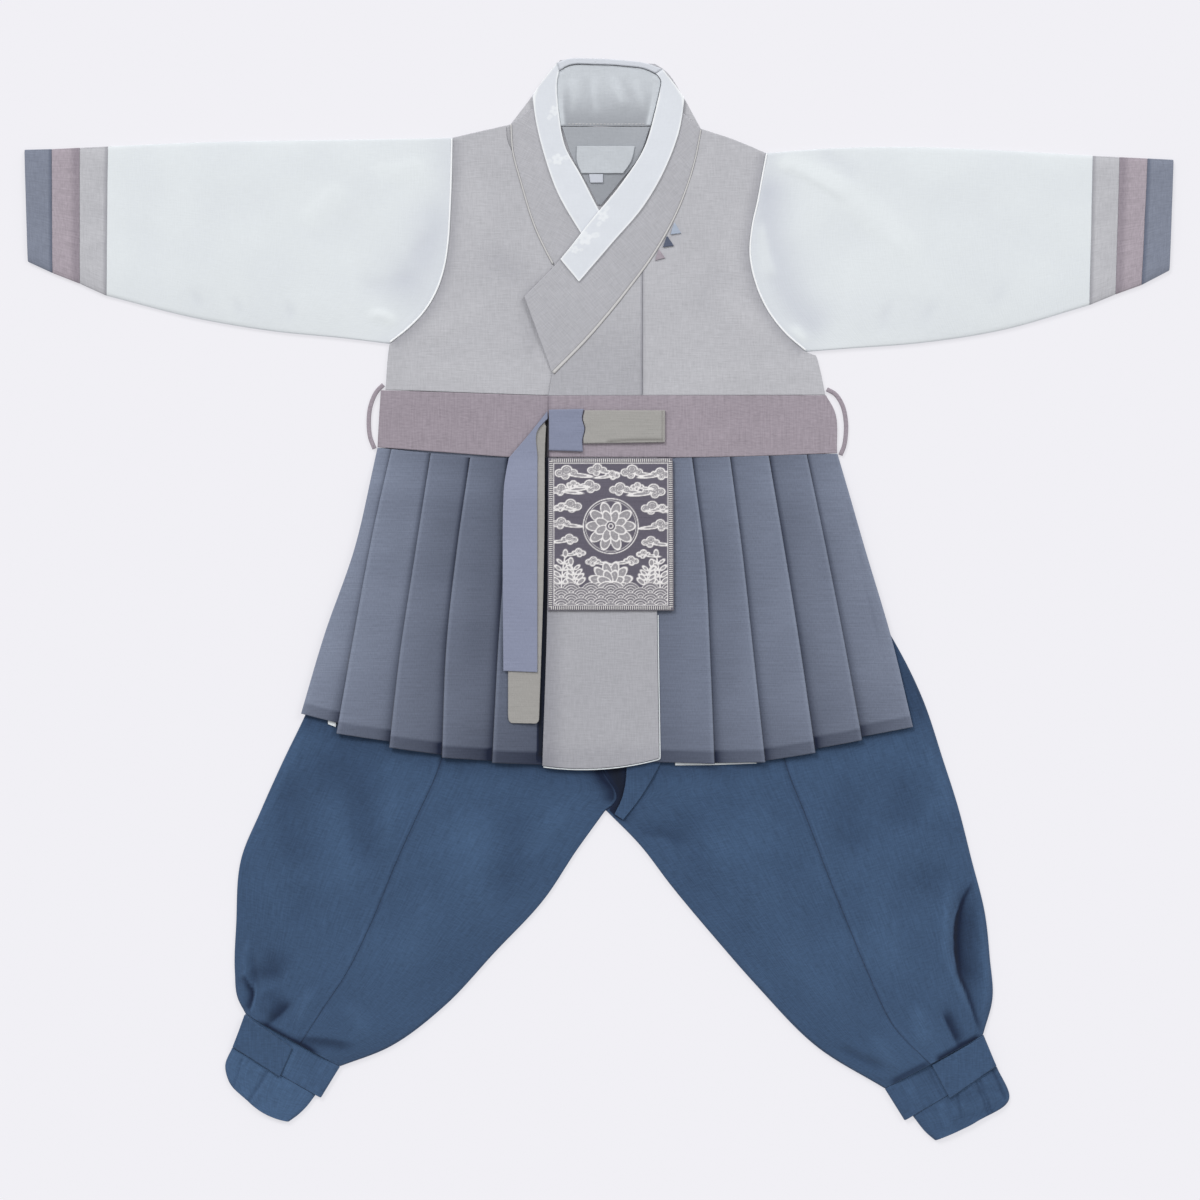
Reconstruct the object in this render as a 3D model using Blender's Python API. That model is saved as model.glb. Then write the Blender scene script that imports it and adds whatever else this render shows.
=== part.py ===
"""A small boy's Korean hanbok, laid flat on a table, as Blender solids.

A wrapped robe lies on a pair of wide trousers. The robe has a bodice with set-in sleeves, a crossed
collar, a waistband with ties, and a skirt of knife pleats. The trousers are gathered into ankle bands.

Frame: +X to the wearer's left, +Y towards the neck, +Z up from the table. The origin is on the table,
under the middle of the whole outline. Tables and sizes are in millimetres; meshes are in metres.

Every piece of cloth is a wall between two grids of points. A grid is worked out from a table with a
row for each section of the piece: smooth along the rows, straight across them.
"""
import math
from collections import namedtuple

import bmesh
import bpy
import numpy as np

MM = 0.001

# Driving sizes, in millimetres.
CLOTH = 1.2            # bodice, skirt and collar cloth with its lining
TROUSER_CLOTH = 1.1    # trouser cloth
SLEEVE_CLOTH = 1.1     # sleeve and cuff cloth
TRIM = 1.0             # ribbons, strips, ties and labels
GAP = 0.3              # clearance between pieces that touch
SEAM = 0.2             # what each piece keeps back from a seam that it shares
WIDE_SEAM = 0.35       # the same where the seam runs over a curve
FOLD_RADIUS = 1.3      # half the height of a pressed fold in doubled cloth
FLAT_TUBE = 2.7        # height of two layers of cloth pressed flat

# Levels of the robe's layers above whatever carries them, in millimetres.
BACK = 0.0
UNDER = CLOTH + GAP                  # the front that wraps underneath
ON_UNDER = UNDER + CLOTH + GAP       # what lies on that front
OVER_WAIST = ON_UNDER                # the front that wraps over, at the waist
CROSSING_RISE = 1.3                  # how much higher it lies where the collars cross
PLEAT_DEPTH = 1.5                    # drop from a pleat's fold to the cloth beside it

Span = namedtuple("Span", "start end")
ALONE = Span(20.0, 130.0)            # from here, towards the right, the upper front lies alone
CROSSING = Span(160.0, 225.0)        # upwards, it climbs over the crossed collars
NECK_FALL = Span(310.0, 385.0)       # and comes down again beside the neck

Row = namedtuple("Row", "y rise")
# The trousers lie under the skirt, which climbs onto them below the waistband.
CLIMB = (Row(106.5, 0.0), Row(96.0, 0.75), Row(85.5, 2.25), Row(75.0, 3.0))

Point = namedtuple("Point", "x y")
SHOULDER = (
    Point(-109.5, 346.5),
    Point(-66.0, 356.6),
    Point(76.5, 352.6),
    Point(101.0, 345.0),
    Point(125.0, 335.0),
)
YOKE_RISE = 5.0          # how far the bodice's next row follows the shoulder up

Side = namedtuple("Side", "left_x left_y right_x right_y")
ARMHOLES = (
    Side(-109.5, 346.5, 125.0, 335.0),
    Side(-110.0, 319.0, 121.5, 316.5),
    Side(-111.0, 292.5, 118.5, 300.0),
    Side(-112.5, 268.0, 114.0, 279.0),
    Side(-116.0, 247.0, 112.5, 260.0),
    Side(-122.0, 230.0, 117.0, 237.0),
    Side(-130.5, 216.0, 126.0, 217.0),
    Side(-143.0, 203.0, 139.0, 200.0),
    Side(-157.0, 192.0, 155.0, 186.0),
)
SIDE_SEAMS = (Side(-157.5, 187.0, 163.0, 183.5), Side(-160.0, 158.5, 169.5, 154.0))
WAIST = (
    Side(-163.5, 157.2, 170.0, 153.4),
    Side(-165.0, 134.0, 176.0, 143.0),
    Side(-166.0, 114.5, 178.5, 110.0),
)
FRONT_EDGE_X = -38.0     # opening edge of the front that wraps over
WAIST_TOP = 153.3        # top of the waistband from the opening onwards
WAIST_FOOT = 107.0       # and its foot
TIE_X = -67.5            # the waistband's foot slopes down as far as the ties
UNDER_REACH = ( # its hidden edge
    Point(-13.5, 211.0),
    Point(0.0, 190.0),
    Point(31.0, 153.6),
)
OVERLAP_SEAM_X = 32.5    # seam of the overlap panel
SEAM_ROWS = 3            # rows of cloth beside that seam

Tube = namedtuple("Tube", "x top bottom end_x crown")
# x is on the upper edge and end_x on the lower edge; crown is the rise of the middle over the edges.
SLEEVE_LEFT = (
    Tube(-109.5, 346.5, 192.0, -157.0, 0.0),
    Tube(-165.0, 345.0, 196.5, -190.0, 0.9),
    Tube(-235.0, 344.0, 201.5, -245.0, 1.8),
    Tube(-301.5, 343.0, 211.0, -301.5, 1.6),
    Tube(-368.0, 340.0, 228.0, -369.0, 0.8),
)
SLEEVE_RIGHT = (
    Tube(125.0, 335.0, 186.0, 155.0, 0.0),
    Tube(169.0, 337.5, 189.0, 188.0, 0.9),
    Tube(235.0, 339.5, 192.5, 240.0, 1.8),
    Tube(301.0, 337.0, 202.0, 301.0, 1.6),
    Tube(370.0, 333.0, 221.0, 367.5, 0.8),
)
CUFFS_LEFT = (
    Tube(-368.0, 340.0, 228.0, -369.0, 0.8),
    Tube(-389.0, 339.0, 237.0, -389.0, 0.8),
    Tube(-410.0, 338.0, 245.0, -409.5, 0.8),
    Tube(-430.5, 337.5, 253.5, -428.0, 0.8),
)
CUFFS_RIGHT = (
    Tube(370.0, 333.0, 221.0, 367.5, 0.8),
    Tube(390.0, 332.0, 229.0, 387.0, 0.8),
    Tube(411.0, 331.0, 236.0, 406.5, 0.8),
    Tube(430.5, 330.0, 247.0, 427.5, 0.8),
)
CUFF_COLOURS = ("grey", "mauve", "slate")

Collar = namedtuple("Collar", "outer_x outer_y strip_x strip_y inner_x inner_y")
# Sections from the neck down: outer seam, edge of the white strip, inner edge of the neck.
COLLAR_UNDER = (
    Collar(-66.0, 357.0, -50.0, 378.0, -31.5, 380.0),
    Collar(-64.5, 336.0, -47.0, 357.0, -30.0, 364.0),
    Collar(-58.5, 313.0, -41.0, 333.0, -25.0, 339.0),
    Collar(-46.5, 276.0, -31.5, 306.0, -14.0, 319.0),
    Collar(-34.0, 251.0, -13.5, 274.5, 0.0, 292.0),
    Collar(-20.0, 228.0, 3.0, 249.0, 15.0, 266.0),
)
COLLAR_OVER = (
    Collar(76.5, 353.0, 64.0, 376.0, 45.5, 381.0),
    Collar(72.0, 330.0, 61.0, 355.0, 42.0, 366.0),
    Collar(61.5, 298.0, 51.0, 326.0, 34.0, 339.0),
    Collar(44.0, 264.0, 34.0, 295.5, 17.0, 312.0),
    Collar(19.0, 229.5, 9.0, 266.0, -6.0, 284.0),
    Collar(-10.0, 195.0, -15.0, 238.0, -29.0, 255.0),
    Collar(-35.0, 169.5, -43.5, 202.5, -56.0, 227.0),
)
STRIP_END = 5            # the white strip stops at this section of the upper collar
SEEN_SECTIONS = 9        # the under collar shows over this many points of its curve
# The white strips run on past the collar, round the corner to the top of the neck.
STRIP_TOP_UNDER = (Collar(0.0, 0.0, -31.5, 403.5, -28.5, 394.2), Collar(0.0, 0.0, -41.0, 390.5, -31.5, 387.0))
STRIP_TOP_OVER = (Collar(0.0, 0.0, 48.0, 398.3, 42.0, 394.8), Collar(0.0, 0.0, 56.5, 387.0, 46.5, 390.5))
PIPING_WIDTH = Span(1.4, 3.4)    # at the neck and at the tip
PIPING_END = 0.8         # what the piping keeps back from both ends of its collar
SHOULDER_TUCK = (-68.5, 356.5)   # the left front stops here at the shoulder, beside the collar
STRIP_CLEAR = 0.6        # what the under collar keeps back along the neck

Neck = namedtuple("Neck", "left_x left_y right_x right_y")
COLLAR_BACK = (
    Neck(-66.0, 357.0, 76.5, 353.0),
    Neck(-50.0, 378.0, 64.0, 376.0),
    Neck(-40.5, 391.0, 49.0, 397.5),
    Neck(-29.0, 405.0, 42.0, 402.0),
)
STRIP_BACK = (Neck(-30.0, 405.0, 44.5, 402.5), Neck(-27.8, 395.0, 41.2, 396.4))
NECK_LINING = (
    Neck(-27.5, 393.6, 39.5, 394.6),
    Neck(-28.5, 372.0, 38.5, 372.0),
    Neck(-26.0, 355.4, 37.0, 355.4),
)
BACK_LINING = (
    Neck(-25.8, 354.6, 36.0, 354.6),
    Neck(-19.0, 331.5, 28.5, 331.5),
    Neck(-9.0, 312.0, 14.5, 312.0),
    Neck(-0.6, 296.0, 1.4, 296.0),
)
LABEL = (
    Neck(-16.5, 340.0, 27.0, 340.0),
    Neck(-16.5, 328.5, 24.0, 328.5),
    Neck(-13.0, 319.6, 18.0, 319.6),
)
SIZE_TAB = (Neck(-7.5, 319.0, 3.0, 319.0), Neck(-6.5, 312.5, 3.0, 312.5))

TIP = 0.8                # width of a triangle's blunt tip
Triangle = namedtuple("Triangle", "name colour apex_x apex_y left_x left_y right_x right_y")
TRIANGLES = (
    Triangle("triangle_blue", "pale_blue", 56.5, 282.0, 53.5, 273.5, 61.5, 274.5),
    Triangle("triangle_slate", "slate", 51.0, 272.0, 47.8, 264.0, 56.0, 265.0),
    Triangle("triangle_mauve", "mauve", 44.8, 262.0, 42.0, 254.0, 49.5, 256.0),
)

Pleat = namedtuple("Pleat", "top_x top_y mid_x mid_y low_x low_y hem_x hem_above hem_fold")
# A row for each fold line. hem_above is where the hem of the panel that dips under the fold ends,
# and hem_fold where the hem of the panel that carries the fold starts.
PLEATS_LEFT = (
    Pleat(-166.0, 114.1, -183.0, 38.5, -205.5, -26.0, -223.0, -85.0, -85.0),
    Pleat(-155.5, 113.3, -169.0, 52.0, -185.0, -34.5, -196.5, -92.0, -100.0),
    Pleat(-126.0, 111.1, -138.5, 29.0, -149.0, -40.0, -157.0, -106.0, -110.5),
    Pleat(-96.5, 108.9, -106.5, 37.0, -114.0, -31.0, -117.5, -116.0, -118.0),
    Pleat(-67.5, 106.7, -70.5, 37.5, -75.5, -35.0, -80.0, -120.5, -122.0),
)
PLEATS_RIGHT = (
    Pleat(69.5, 107.6, 79.5, 29.0, 83.5, -46.0, 86.5, -122.0, -122.6),
    Pleat(98.0, 108.2, 107.0, 39.0, 116.0, -43.0, 124.5, -120.5, -121.5),
    Pleat(127.0, 108.6, 139.5, 34.0, 150.5, -35.0, 162.0, -111.5, -114.5),
    Pleat(155.5, 109.2, 169.0, 43.5, 183.0, -28.0, 197.0, -102.5, -105.0),
    Pleat(178.7, 109.6, 198.0, 42.0, 219.0, -29.0, 235.0, -95.0, -95.0),
)
# The flat cloth between the last fold and the hidden edge, from the fold outwards.
FLAT_LEFT = (Pleat(-44.0, 106.7, -44.0, 40.0, -44.0, -40.0, -46.0, -123.5, -123.5),
             Pleat(-22.0, 106.7, -22.0, 40.0, -22.0, -40.0, -22.0, -124.0, -124.0))
FLAT_RIGHT = (Pleat(31.0, 106.8, 31.0, 40.0, 31.0, -40.0, 31.0, -121.0, -121.0),
              Pleat(47.0, 107.0, 47.0, 40.0, 47.0, -40.0, 47.5, -121.2, -121.2))
FOLD_LAP = 1.2           # how far the cloth turns back under a pleat's fold
FOLD_STEP = 0.5          # width of the drop at a pleat's fold
SIDE_RISE = 0.2          # share of a pleat's depth in the plain cloth beside the skirt's open side
SKIRT_ROWS = 5           # rows of cloth between the climb and the hem
SKIRT_BACK_SHORT = 8.0   # the back's hem stops this much above the front's
HEM_LOW, HEM_MIDDLE, HEM_CURVE = -125.0, 5.0, 0.00076   # hem height = LOW + CURVE * (x - MIDDLE)^2

Strip = namedtuple("Strip", "left_x left_y right_x right_y")
CENTER_PANEL = (
    Strip(-40.0, 106.5, 43.5, 106.5),
    Strip(-40.3, 96.0, 43.5, 96.0),
    Strip(-40.4, 85.5, 43.5, 85.5),
    Strip(-40.5, 75.0, 43.5, 75.0),
    Strip(-40.5, -10.5, 43.5, -10.5),
    Strip(-43.0, -124.0, 45.0, -118.5),
)
PANEL_HEM_DIP = 4.5      # the panel's hem bows this far below a straight line
BADGE = (
    Strip(-39.5, 106.4, 55.5, 106.4),
    Strip(-39.5, 96.0, 55.5, 96.0),
    Strip(-39.6, 85.5, 55.6, 85.5),
    Strip(-39.7, 75.0, 55.7, 75.0),
    Strip(-40.0, -8.0, 56.0, -8.0),
)
BADGE_THICK = 1.5
TIE_LAVENDER = (
    Strip(-38.6, 141.5, -38.4, 136.0),
    Strip(-52.5, 124.0, -46.0, 127.0),
    Strip(-67.5, 106.5, -46.0, 106.5),
    Strip(-69.5, 96.0, -46.0, 96.0),
    Strip(-71.0, 85.5, -46.0, 85.5),
    Strip(-71.5, 75.0, -46.0, 75.0),
    Strip(-72.0, 20.0, -46.0, 20.0),
    Strip(-71.5, -53.0, -46.0, -54.0),
)
TIE_BEIGE = (
    Strip(-41.0, 133.0, -40.5, 128.0),
    Strip(-54.0, 119.0, -43.0, 119.0),
    Strip(-65.0, 106.5, -42.0, 106.5),
    Strip(-66.5, 96.0, -42.0, 96.0),
    Strip(-67.5, 85.5, -42.0, 85.5),
    Strip(-68.0, 75.0, -42.0, 75.0),
    Strip(-68.0, 10.0, -42.0, 10.0),
    Strip(-68.0, -84.0, -42.0, -84.0),
    Strip(-62.0, -91.5, -47.0, -91.5),
)
BOW_LAVENDER = (
    Strip(-37.5, 142.5, -37.5, 112.0),
    Strip(-24.0, 142.5, -24.0, 112.0),
    Strip(-11.4, 143.0, -12.0, 111.0),
)
BOW_BEIGE = (
    Strip(-11.0, 142.0, -11.0, 117.0),
    Strip(19.0, 142.0, 19.0, 117.5),
    Strip(49.5, 142.0, 49.5, 118.0),
)
BOW_THICK = 2.2
LINING_LEFT = (Strip(-203.0, -86.5, -203.0, -93.0), Strip(-196.9, -87.5, -196.9, -95.3))
LINING_RIGHT = (
    Strip(60.0, -115.5, 60.0, -124.3),
    Strip(92.0, -115.0, 92.0, -124.0),
    Strip(123.0, -113.0, 123.0, -122.6),
)

LOOP_LEFT = (
    Point(-163.8, 163.0),
    Point(-168.6, 154.5),
    Point(-171.9, 144.0),
    Point(-172.6, 133.0),
    Point(-171.8, 122.5),
    Point(-169.6, 113.8),
)
LOOP_RIGHT = (
    Point(173.4, 156.5),
    Point(180.0, 149.5),
    Point(183.9, 139.0),
    Point(185.0, 127.0),
    Point(184.3, 116.0),
    Point(182.2, 108.5),
)
LOOP_WIDTH = 4.2
LOOP_THICK = 2.0

Leg = namedtuple("Leg", "outer_x outer_y seam_x seam_y inner_x inner_y gather tuck")
# Sections down each leg: outer fold, front and back seam, inner fold; gather is the ripple's height,
# and tuck the depth of the hollow beside the outer fold.
LEG_LEFT = (
    Leg(-151.0, 55.0, -89.0, 55.0, 5.0, 55.0, 0.0, 0.0),
    Leg(-185.0, 7.5, -98.0, 0.0, 5.0, -7.5, 0.0, 0.0),
    Leg(-221.0, -88.0, -113.0, -101.0, 5.0, -105.0, 0.0, 0.0),
    Leg(-236.0, -119.0, -122.0, -131.0, 5.0, -156.0, 0.0, 0.0),
    Leg(-254.0, -159.0, -137.0, -163.5, -17.0, -188.0, 0.0, 0.0),
    Leg(-268.0, -193.0, -152.0, -197.0, -40.5, -223.5, 0.0, 0.0),
    Leg(-272.0, -243.0, -171.0, -243.0, -78.0, -264.0, 0.3, 0.0),
    Leg(-273.0, -279.0, -190.0, -281.0, -116.0, -304.5, 0.8, 0.3),
    Leg(-271.0, -298.0, -208.0, -307.5, -157.0, -335.0, 1.2, 0.9),
    Leg(-265.0, -310.0, -224.0, -332.0, -194.0, -349.5, 0.9, 0.9),
)
LEG_RIGHT = (
    Leg(160.0, 55.0, 109.5, 55.0, 5.6, 55.0, 0.0, 0.0),
    Leg(197.0, 7.5, 118.5, 0.0, 5.6, -7.5, 0.0, 0.0),
    Leg(243.0, -75.0, 133.0, -96.0, 5.6, -105.0, 0.0, 0.0),
    Leg(258.0, -120.0, 142.5, -131.0, 5.6, -156.0, 0.0, 0.0),
    Leg(269.0, -154.5, 154.5, -161.0, 31.0, -184.0, 0.0, 0.0),
    Leg(279.0, -193.5, 170.0, -202.5, 54.0, -214.0, 0.0, 0.3),
    Leg(289.5, -236.0, 188.0, -247.5, 87.0, -253.5, 0.3, 1.0),
    Leg(293.0, -268.5, 202.0, -281.0, 119.0, -290.0, 0.8, 1.2),
    Leg(295.0, -298.5, 220.5, -319.0, 163.5, -335.0, 1.2, 1.0),
    Leg(288.0, -325.5, 248.0, -346.5, 214.0, -366.0, 0.9, 0.8),
)
CROTCH_ROW = 3           # the inner edge turns a corner here
LEG_CROWN = 2.6          # rise of the leg's middle over its folded edges
PUFF = Span(15.0, 80.0)  # distance below the skirt's hem over which the leg fills out
LEG_END = 0.4            # what the leg keeps back from the ankle band
LEG_COLUMNS = 7          # parts across each leg panel

TROUSER_WAIST = (Tube(-151.0, 75.0, 55.6, -151.0, 0.0), Tube(4.0, 75.0, 55.6, 4.0, 0.0),
                 Tube(160.0, 75.0, 55.6, 160.0, 0.0))

Ankle = namedtuple("Ankle", "outer_x outer_y inner_x inner_y")
BAND_LEFT = (Ankle(-265.4, -310.8, -194.4, -350.6), Ankle(-274.8, -335.2, -208.4, -373.0))
END_LEFT = (
    Ankle(-274.6, -336.6, -213.0, -372.4),
    Ankle(-280.2, -349.0, -219.0, -379.5),
    Ankle(-277.4, -361.0, -224.5, -385.0),
    Ankle(-262.0, -376.5, -232.5, -391.0),
)
TAB_LEFT = (Ankle(-265.4, -310.6, -229.5, -335.5), Ankle(-274.0, -334.5, -239.0, -357.0))
BAND_RIGHT = (Ankle(288.4, -326.6, 214.5, -367.2), Ankle(298.0, -349.5, 229.0, -390.0))
END_RIGHT = (Ankle(298.6, -350.6, 235.0, -388.6), Ankle(307.5, -374.0, 245.5, -399.5),
             Ankle(282.0, -391.5, 252.0, -405.0))
TAB_RIGHT = (Ankle(287.5, -327.0, 249.0, -348.0), Ankle(297.5, -348.5, 262.5, -373.0))
BAND_CLOTH = 1.4
BAND_HEIGHT = 4.0
END_BOW_LEFT, END_BOW_RIGHT = 2.5, 0.6   # how far the trouser's end bows out below its corners

GUSSET_LEVEL = 3.5
GUSSET = (
    Strip(20.0, -128.5, 43.5, -128.0),
    Strip(19.0, -140.0, 36.0, -138.0),
    Strip(16.5, -154.0, 29.0, -152.0),
    Strip(13.0, -162.0, 20.0, -162.0),
)

COLOURS = {
    "white": "#E4E9EC",
    "grey": "#BBBBC0",
    "lining": "#BEC2C8",
    "mauve": "#A69CA5",
    "slate": "#7E8595",
    "skirt": "#70778A",
    "pale_blue": "#AEBACB",
    "lavender": "#8B92A9",
    "beige": "#A5A39F",
    "trouser": "#435875",
    "badge": "#8D8994",
}
CLOTH_ROUGHNESS = 0.85
SMOOTH_ANGLE = math.radians(35.0)


def linear(value):
    """One sRGB channel, 0 to 1, as linear light."""
    return value / 12.92 if value <= 0.04045 else ((value + 0.055) / 1.055) ** 2.4


def cloth_material(name):
    """The material of one cloth, made once and shared by its pieces."""
    if name in bpy.data.materials:
        return bpy.data.materials[name]
    code = COLOURS[name].lstrip("#")
    colour = [linear(int(code[i:i + 2], 16) / 255.0) for i in (0, 2, 4)]
    material = bpy.data.materials.new(name)
    material.use_nodes = True
    shader = material.node_tree.nodes["Principled BSDF"]
    shader.inputs["Base Color"].default_value = (*colour, 1.0)
    shader.inputs["Roughness"].default_value = CLOTH_ROUGHNESS
    shader.inputs["Metallic"].default_value = 0.0
    return material


def smoothstep(value, span):
    """0 before the span, 1 after it, and an even curve between."""
    share = np.clip((np.asarray(value, float) - span.start) / (span.end - span.start), 0.0, 1.0)
    return share * share * (3.0 - 2.0 * share)


# Heights of what carries the robe's layers, in millimetres.

def climb(y):
    """Rise of the skirt onto the trousers at height y of the layout."""
    rows = sorted(CLIMB)
    return np.interp(y, [row.y for row in rows], [row.rise for row in rows])


def over_base(x, y):
    """Underside of the front that wraps over: high over the other front, low where it lies alone."""
    together = (1.0 - smoothstep(x, ALONE)) * (1.0 - smoothstep(y, NECK_FALL))
    return UNDER + together * (OVER_WAIST - UNDER + CROSSING_RISE * smoothstep(y, CROSSING))


def front_hem(x):
    """The skirt's front hem as a parabola, for what has to start beyond it."""
    return HEM_LOW + HEM_CURVE * (x - HEM_MIDDLE) ** 2


def leg_puff(x, y):
    """0 where a leg lies pressed under the skirt, 1 well below the hem."""
    return smoothstep(front_hem(x) - y, PUFF)


# Grids of points.

def smooth_rows(rows, parts, corners=()):
    """Carry rows of points along smooth curves, with parts steps from each row to the next.

    rows is (row, point, 2). At a row in corners the curve turns sharply.
    """
    rows = np.array(rows, float)
    last = len(rows) - 1
    lengths = np.linalg.norm(np.diff(rows, axis=0), axis=2).mean(axis=1)

    def tangent(index, ahead):
        """Direction at a row: the mean of its two sides, weighted by the nearer row."""
        before, after = index - 1, index
        if index == 0 or (ahead and index in corners):
            return (rows[index + 1] - rows[index]) / lengths[after]
        if index == last or (not ahead and index in corners):
            return (rows[index] - rows[index - 1]) / lengths[before]
        back = (rows[index] - rows[index - 1]) / lengths[before]
        front = (rows[index + 1] - rows[index]) / lengths[after]
        return (back * lengths[after] + front * lengths[before]) / (lengths[before] + lengths[after])

    points = [rows[0]]
    for i in range(last):
        start, end = tangent(i, True) * lengths[i], tangent(i + 1, False) * lengths[i]
        for step in range(1, parts + 1):
            u = step / parts
            points.append((2 * u**3 - 3 * u**2 + 1) * rows[i] + (u**3 - 2 * u**2 + u) * start
                          + (3 * u**2 - 2 * u**3) * rows[i + 1] + (u**3 - u**2) * end)
    return np.array(points)


def pairs(row, *names):
    """The (x, y) points that a table row holds under the given names."""
    return [(getattr(row, name + "_x"), getattr(row, name + "_y")) for name in names]


def across(edges, parts):
    """Fill a (row, 2, 2) pair of edges with straight rows of parts steps."""
    share = np.linspace(0.0, 1.0, parts + 1)[None, :, None]
    return edges[:, :1] * (1.0 - share) + edges[:, 1:] * share


def keep_back(grid, first=0.0, last=0.0, start=0.0, end=0.0):
    """Draw a grid's edges in by so many millimetres, along its own rows and columns."""
    grid = grid.copy()

    def draw(edge, inner, amount):
        step = inner - edge
        return edge + step * amount / np.linalg.norm(step, axis=-1, keepdims=True)

    grid[:, 0] = draw(grid[:, 0], grid[:, 1], first)
    grid[:, -1] = draw(grid[:, -1], grid[:, -2], last)
    grid[0] = draw(grid[0], grid[1], start)
    grid[-1] = draw(grid[-1], grid[-2], end)
    return grid


def at_height(grid, height):
    """Give a flat grid its heights, from a number, an array or a function of x and y."""
    x, y = grid[..., 0], grid[..., 1]
    z = height(x, y) if callable(height) else height
    return np.stack([x, y, np.broadcast_to(z, x.shape)], axis=-1)


# Solids.

def wall(name, colour, outer, inner, ring=False):
    """A closed wall of cloth between two grids of points, in millimetres.

    With ring, each row of points closes on itself, which makes a tube that is open at both ends.
    """
    rows, columns = outer.shape[:2]
    points = np.concatenate([outer.reshape(-1, 3), inner.reshape(-1, 3)])
    centre = (points.min(axis=0) + points.max(axis=0)) / 2.0
    centre[2] = 0.0

    mesh = bmesh.new()
    verts = [mesh.verts.new(point * MM) for point in points - centre]
    layers = np.arange(2 * rows * columns).reshape(2, rows, columns)
    spans = columns if ring else columns - 1
    for i in range(rows - 1):
        for j in range(spans):
            k = (j + 1) % columns
            for layer in layers:
                corners = (layer[i, j], layer[i, k], layer[i + 1, k], layer[i + 1, j])
                mesh.faces.new([verts[n] for n in corners])
    for i in (0, rows - 1):
        for j in range(spans):
            k = (j + 1) % columns
            corners = (layers[0, i, j], layers[0, i, k], layers[1, i, k], layers[1, i, j])
            mesh.faces.new([verts[n] for n in corners])
    if not ring:
        for j in (0, columns - 1):
            for i in range(rows - 1):
                corners = (layers[0, i, j], layers[0, i + 1, j], layers[1, i + 1, j], layers[1, i, j])
                mesh.faces.new([verts[n] for n in corners])
    bmesh.ops.recalc_face_normals(mesh, faces=mesh.faces)
    return finish(name, colour, mesh, centre * MM)


def finish(name, colour, mesh, location):
    """Put a bmesh into the scene as one named piece of cloth."""
    data = bpy.data.meshes.new(name)
    mesh.to_mesh(data)
    mesh.free()
    data.shade_smooth()
    data.set_sharp_from_angle(angle=SMOOTH_ANGLE)
    data.materials.append(cloth_material(colour))
    piece = bpy.data.objects.new(name, data)
    piece.location = location
    piece.parent = bpy.data.objects["hanbok"]
    bpy.context.scene.collection.objects.link(piece)
    return piece


def sheet(name, colour, grid, under, thick=CLOTH):
    """One flat layer, whose underside follows `under`."""
    bottom = at_height(grid, under)
    top = bottom.copy()
    top[..., 2] += thick
    return wall(name, colour, top, bottom)


def doubled(grid, height, cloth, folds):
    """Outer and inner points of two layers of cloth folded together at the sides named in folds.

    grid holds the plan, height the top of the upper layer over it, and folds has (first, last) as
    True where the layers join. Each row of points runs along the upper layer and back underneath.
    """

    def layer(inset):
        """Both layers as one row of points, inset from the outer face by so much."""
        plan = keep_back(grid, FOLD_RADIUS if folds[0] else 0.0, FOLD_RADIUS if folds[1] else 0.0)
        upper = at_height(plan, height - inset)
        lower = at_height(plan, inset)[:, ::-1]
        row = [upper]
        if folds[1]:
            turn = keep_back(grid, 0.0, inset)[:, -1:]
            row.append(at_height(turn, height[:, -1:] / 2.0))
        row.append(lower)
        if folds[0]:
            turn = keep_back(grid, inset, 0.0)[:, :1]
            row.append(at_height(turn, height[:, :1] / 2.0))
        return np.concatenate(row, axis=1)

    return layer(0.0), layer(cloth)


def tube(name, colour, grid, height, cloth):
    """A sleeve-like piece: two layers joined at both sides and open at both ends."""
    outer, inner = doubled(grid, height, cloth, (True, True))
    return wall(name, colour, outer, inner, ring=True)


def side_curves():
    """Left and right outline of the bodice, shoulder to waist."""
    return np.array([pairs(row, "left", "right") for row in ARMHOLES + SIDE_SEAMS])


def shoulder_line(x):
    """Height of the shoulder seams and of the back of the neck between them."""
    return np.interp(x, [row.x for row in SHOULDER], [row.y for row in SHOULDER])


def waist_line(x):
    """Top edge of the waistband under the ties: it slopes up to the left of the opening."""
    return np.interp(x, (WAIST[0].left_x, FRONT_EDGE_X), (WAIST[0].left_y, WAIST_TOP))


# The robe's back.

def build_back():
    """Bodice, waistband and skirt of the back, and the part of the collar behind the neck."""
    edges = side_curves()
    grid = keep_back(across(edges, 6), SEAM, SEAM)
    grid[0, :, 1] = shoulder_line(grid[0, :, 0])
    grid[1, 1:-1, 1] += YOKE_RISE
    sheet("bodice_back", "grey", grid, BACK)

    waist = np.array([pairs(row, "left", "right") for row in WAIST])
    sheet("waistband_back", "mauve", across(waist, 4), BACK)

    sheet("skirt_back", "skirt", skirt_back_grid(), lambda x, y: BACK + climb(y))

    rows = np.array([pairs(row, "left", "right") for row in COLLAR_BACK])
    grid = across(rows, 6)
    grid[0, :, 1] += GAP
    sheet("collar_back", "grey", grid, BACK)


def skirt_back_grid():
    """Plan of the skirt's back: the front's outline, with a plain hem that stops short of the front's."""
    lines = [pleat_line(PLEATS_LEFT[0], True), pleat_line(PLEATS_RIGHT[-1], True)]
    share = np.linspace(0.0, 1.0, 9)
    hem_x = lines[0][-1, 0] * (1.0 - share) + lines[1][-1, 0] * share
    hem_y = front_hem(hem_x) + SKIRT_BACK_SHORT
    tops = PLEATS_LEFT[0].top_y * (1.0 - share) + PLEATS_RIGHT[-1].top_y * share
    y = np.array([row_heights(top, hem) for top, hem in zip(tops, hem_y)]).T
    left = np.interp(y[:, 0], lines[0][::-1, 1], lines[0][::-1, 0])
    right = np.interp(y[:, -1], lines[1][::-1, 1], lines[1][::-1, 0])
    x = left[:, None] * (1.0 - share) + right[:, None] * share
    return np.stack([x, y], axis=-1)


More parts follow.
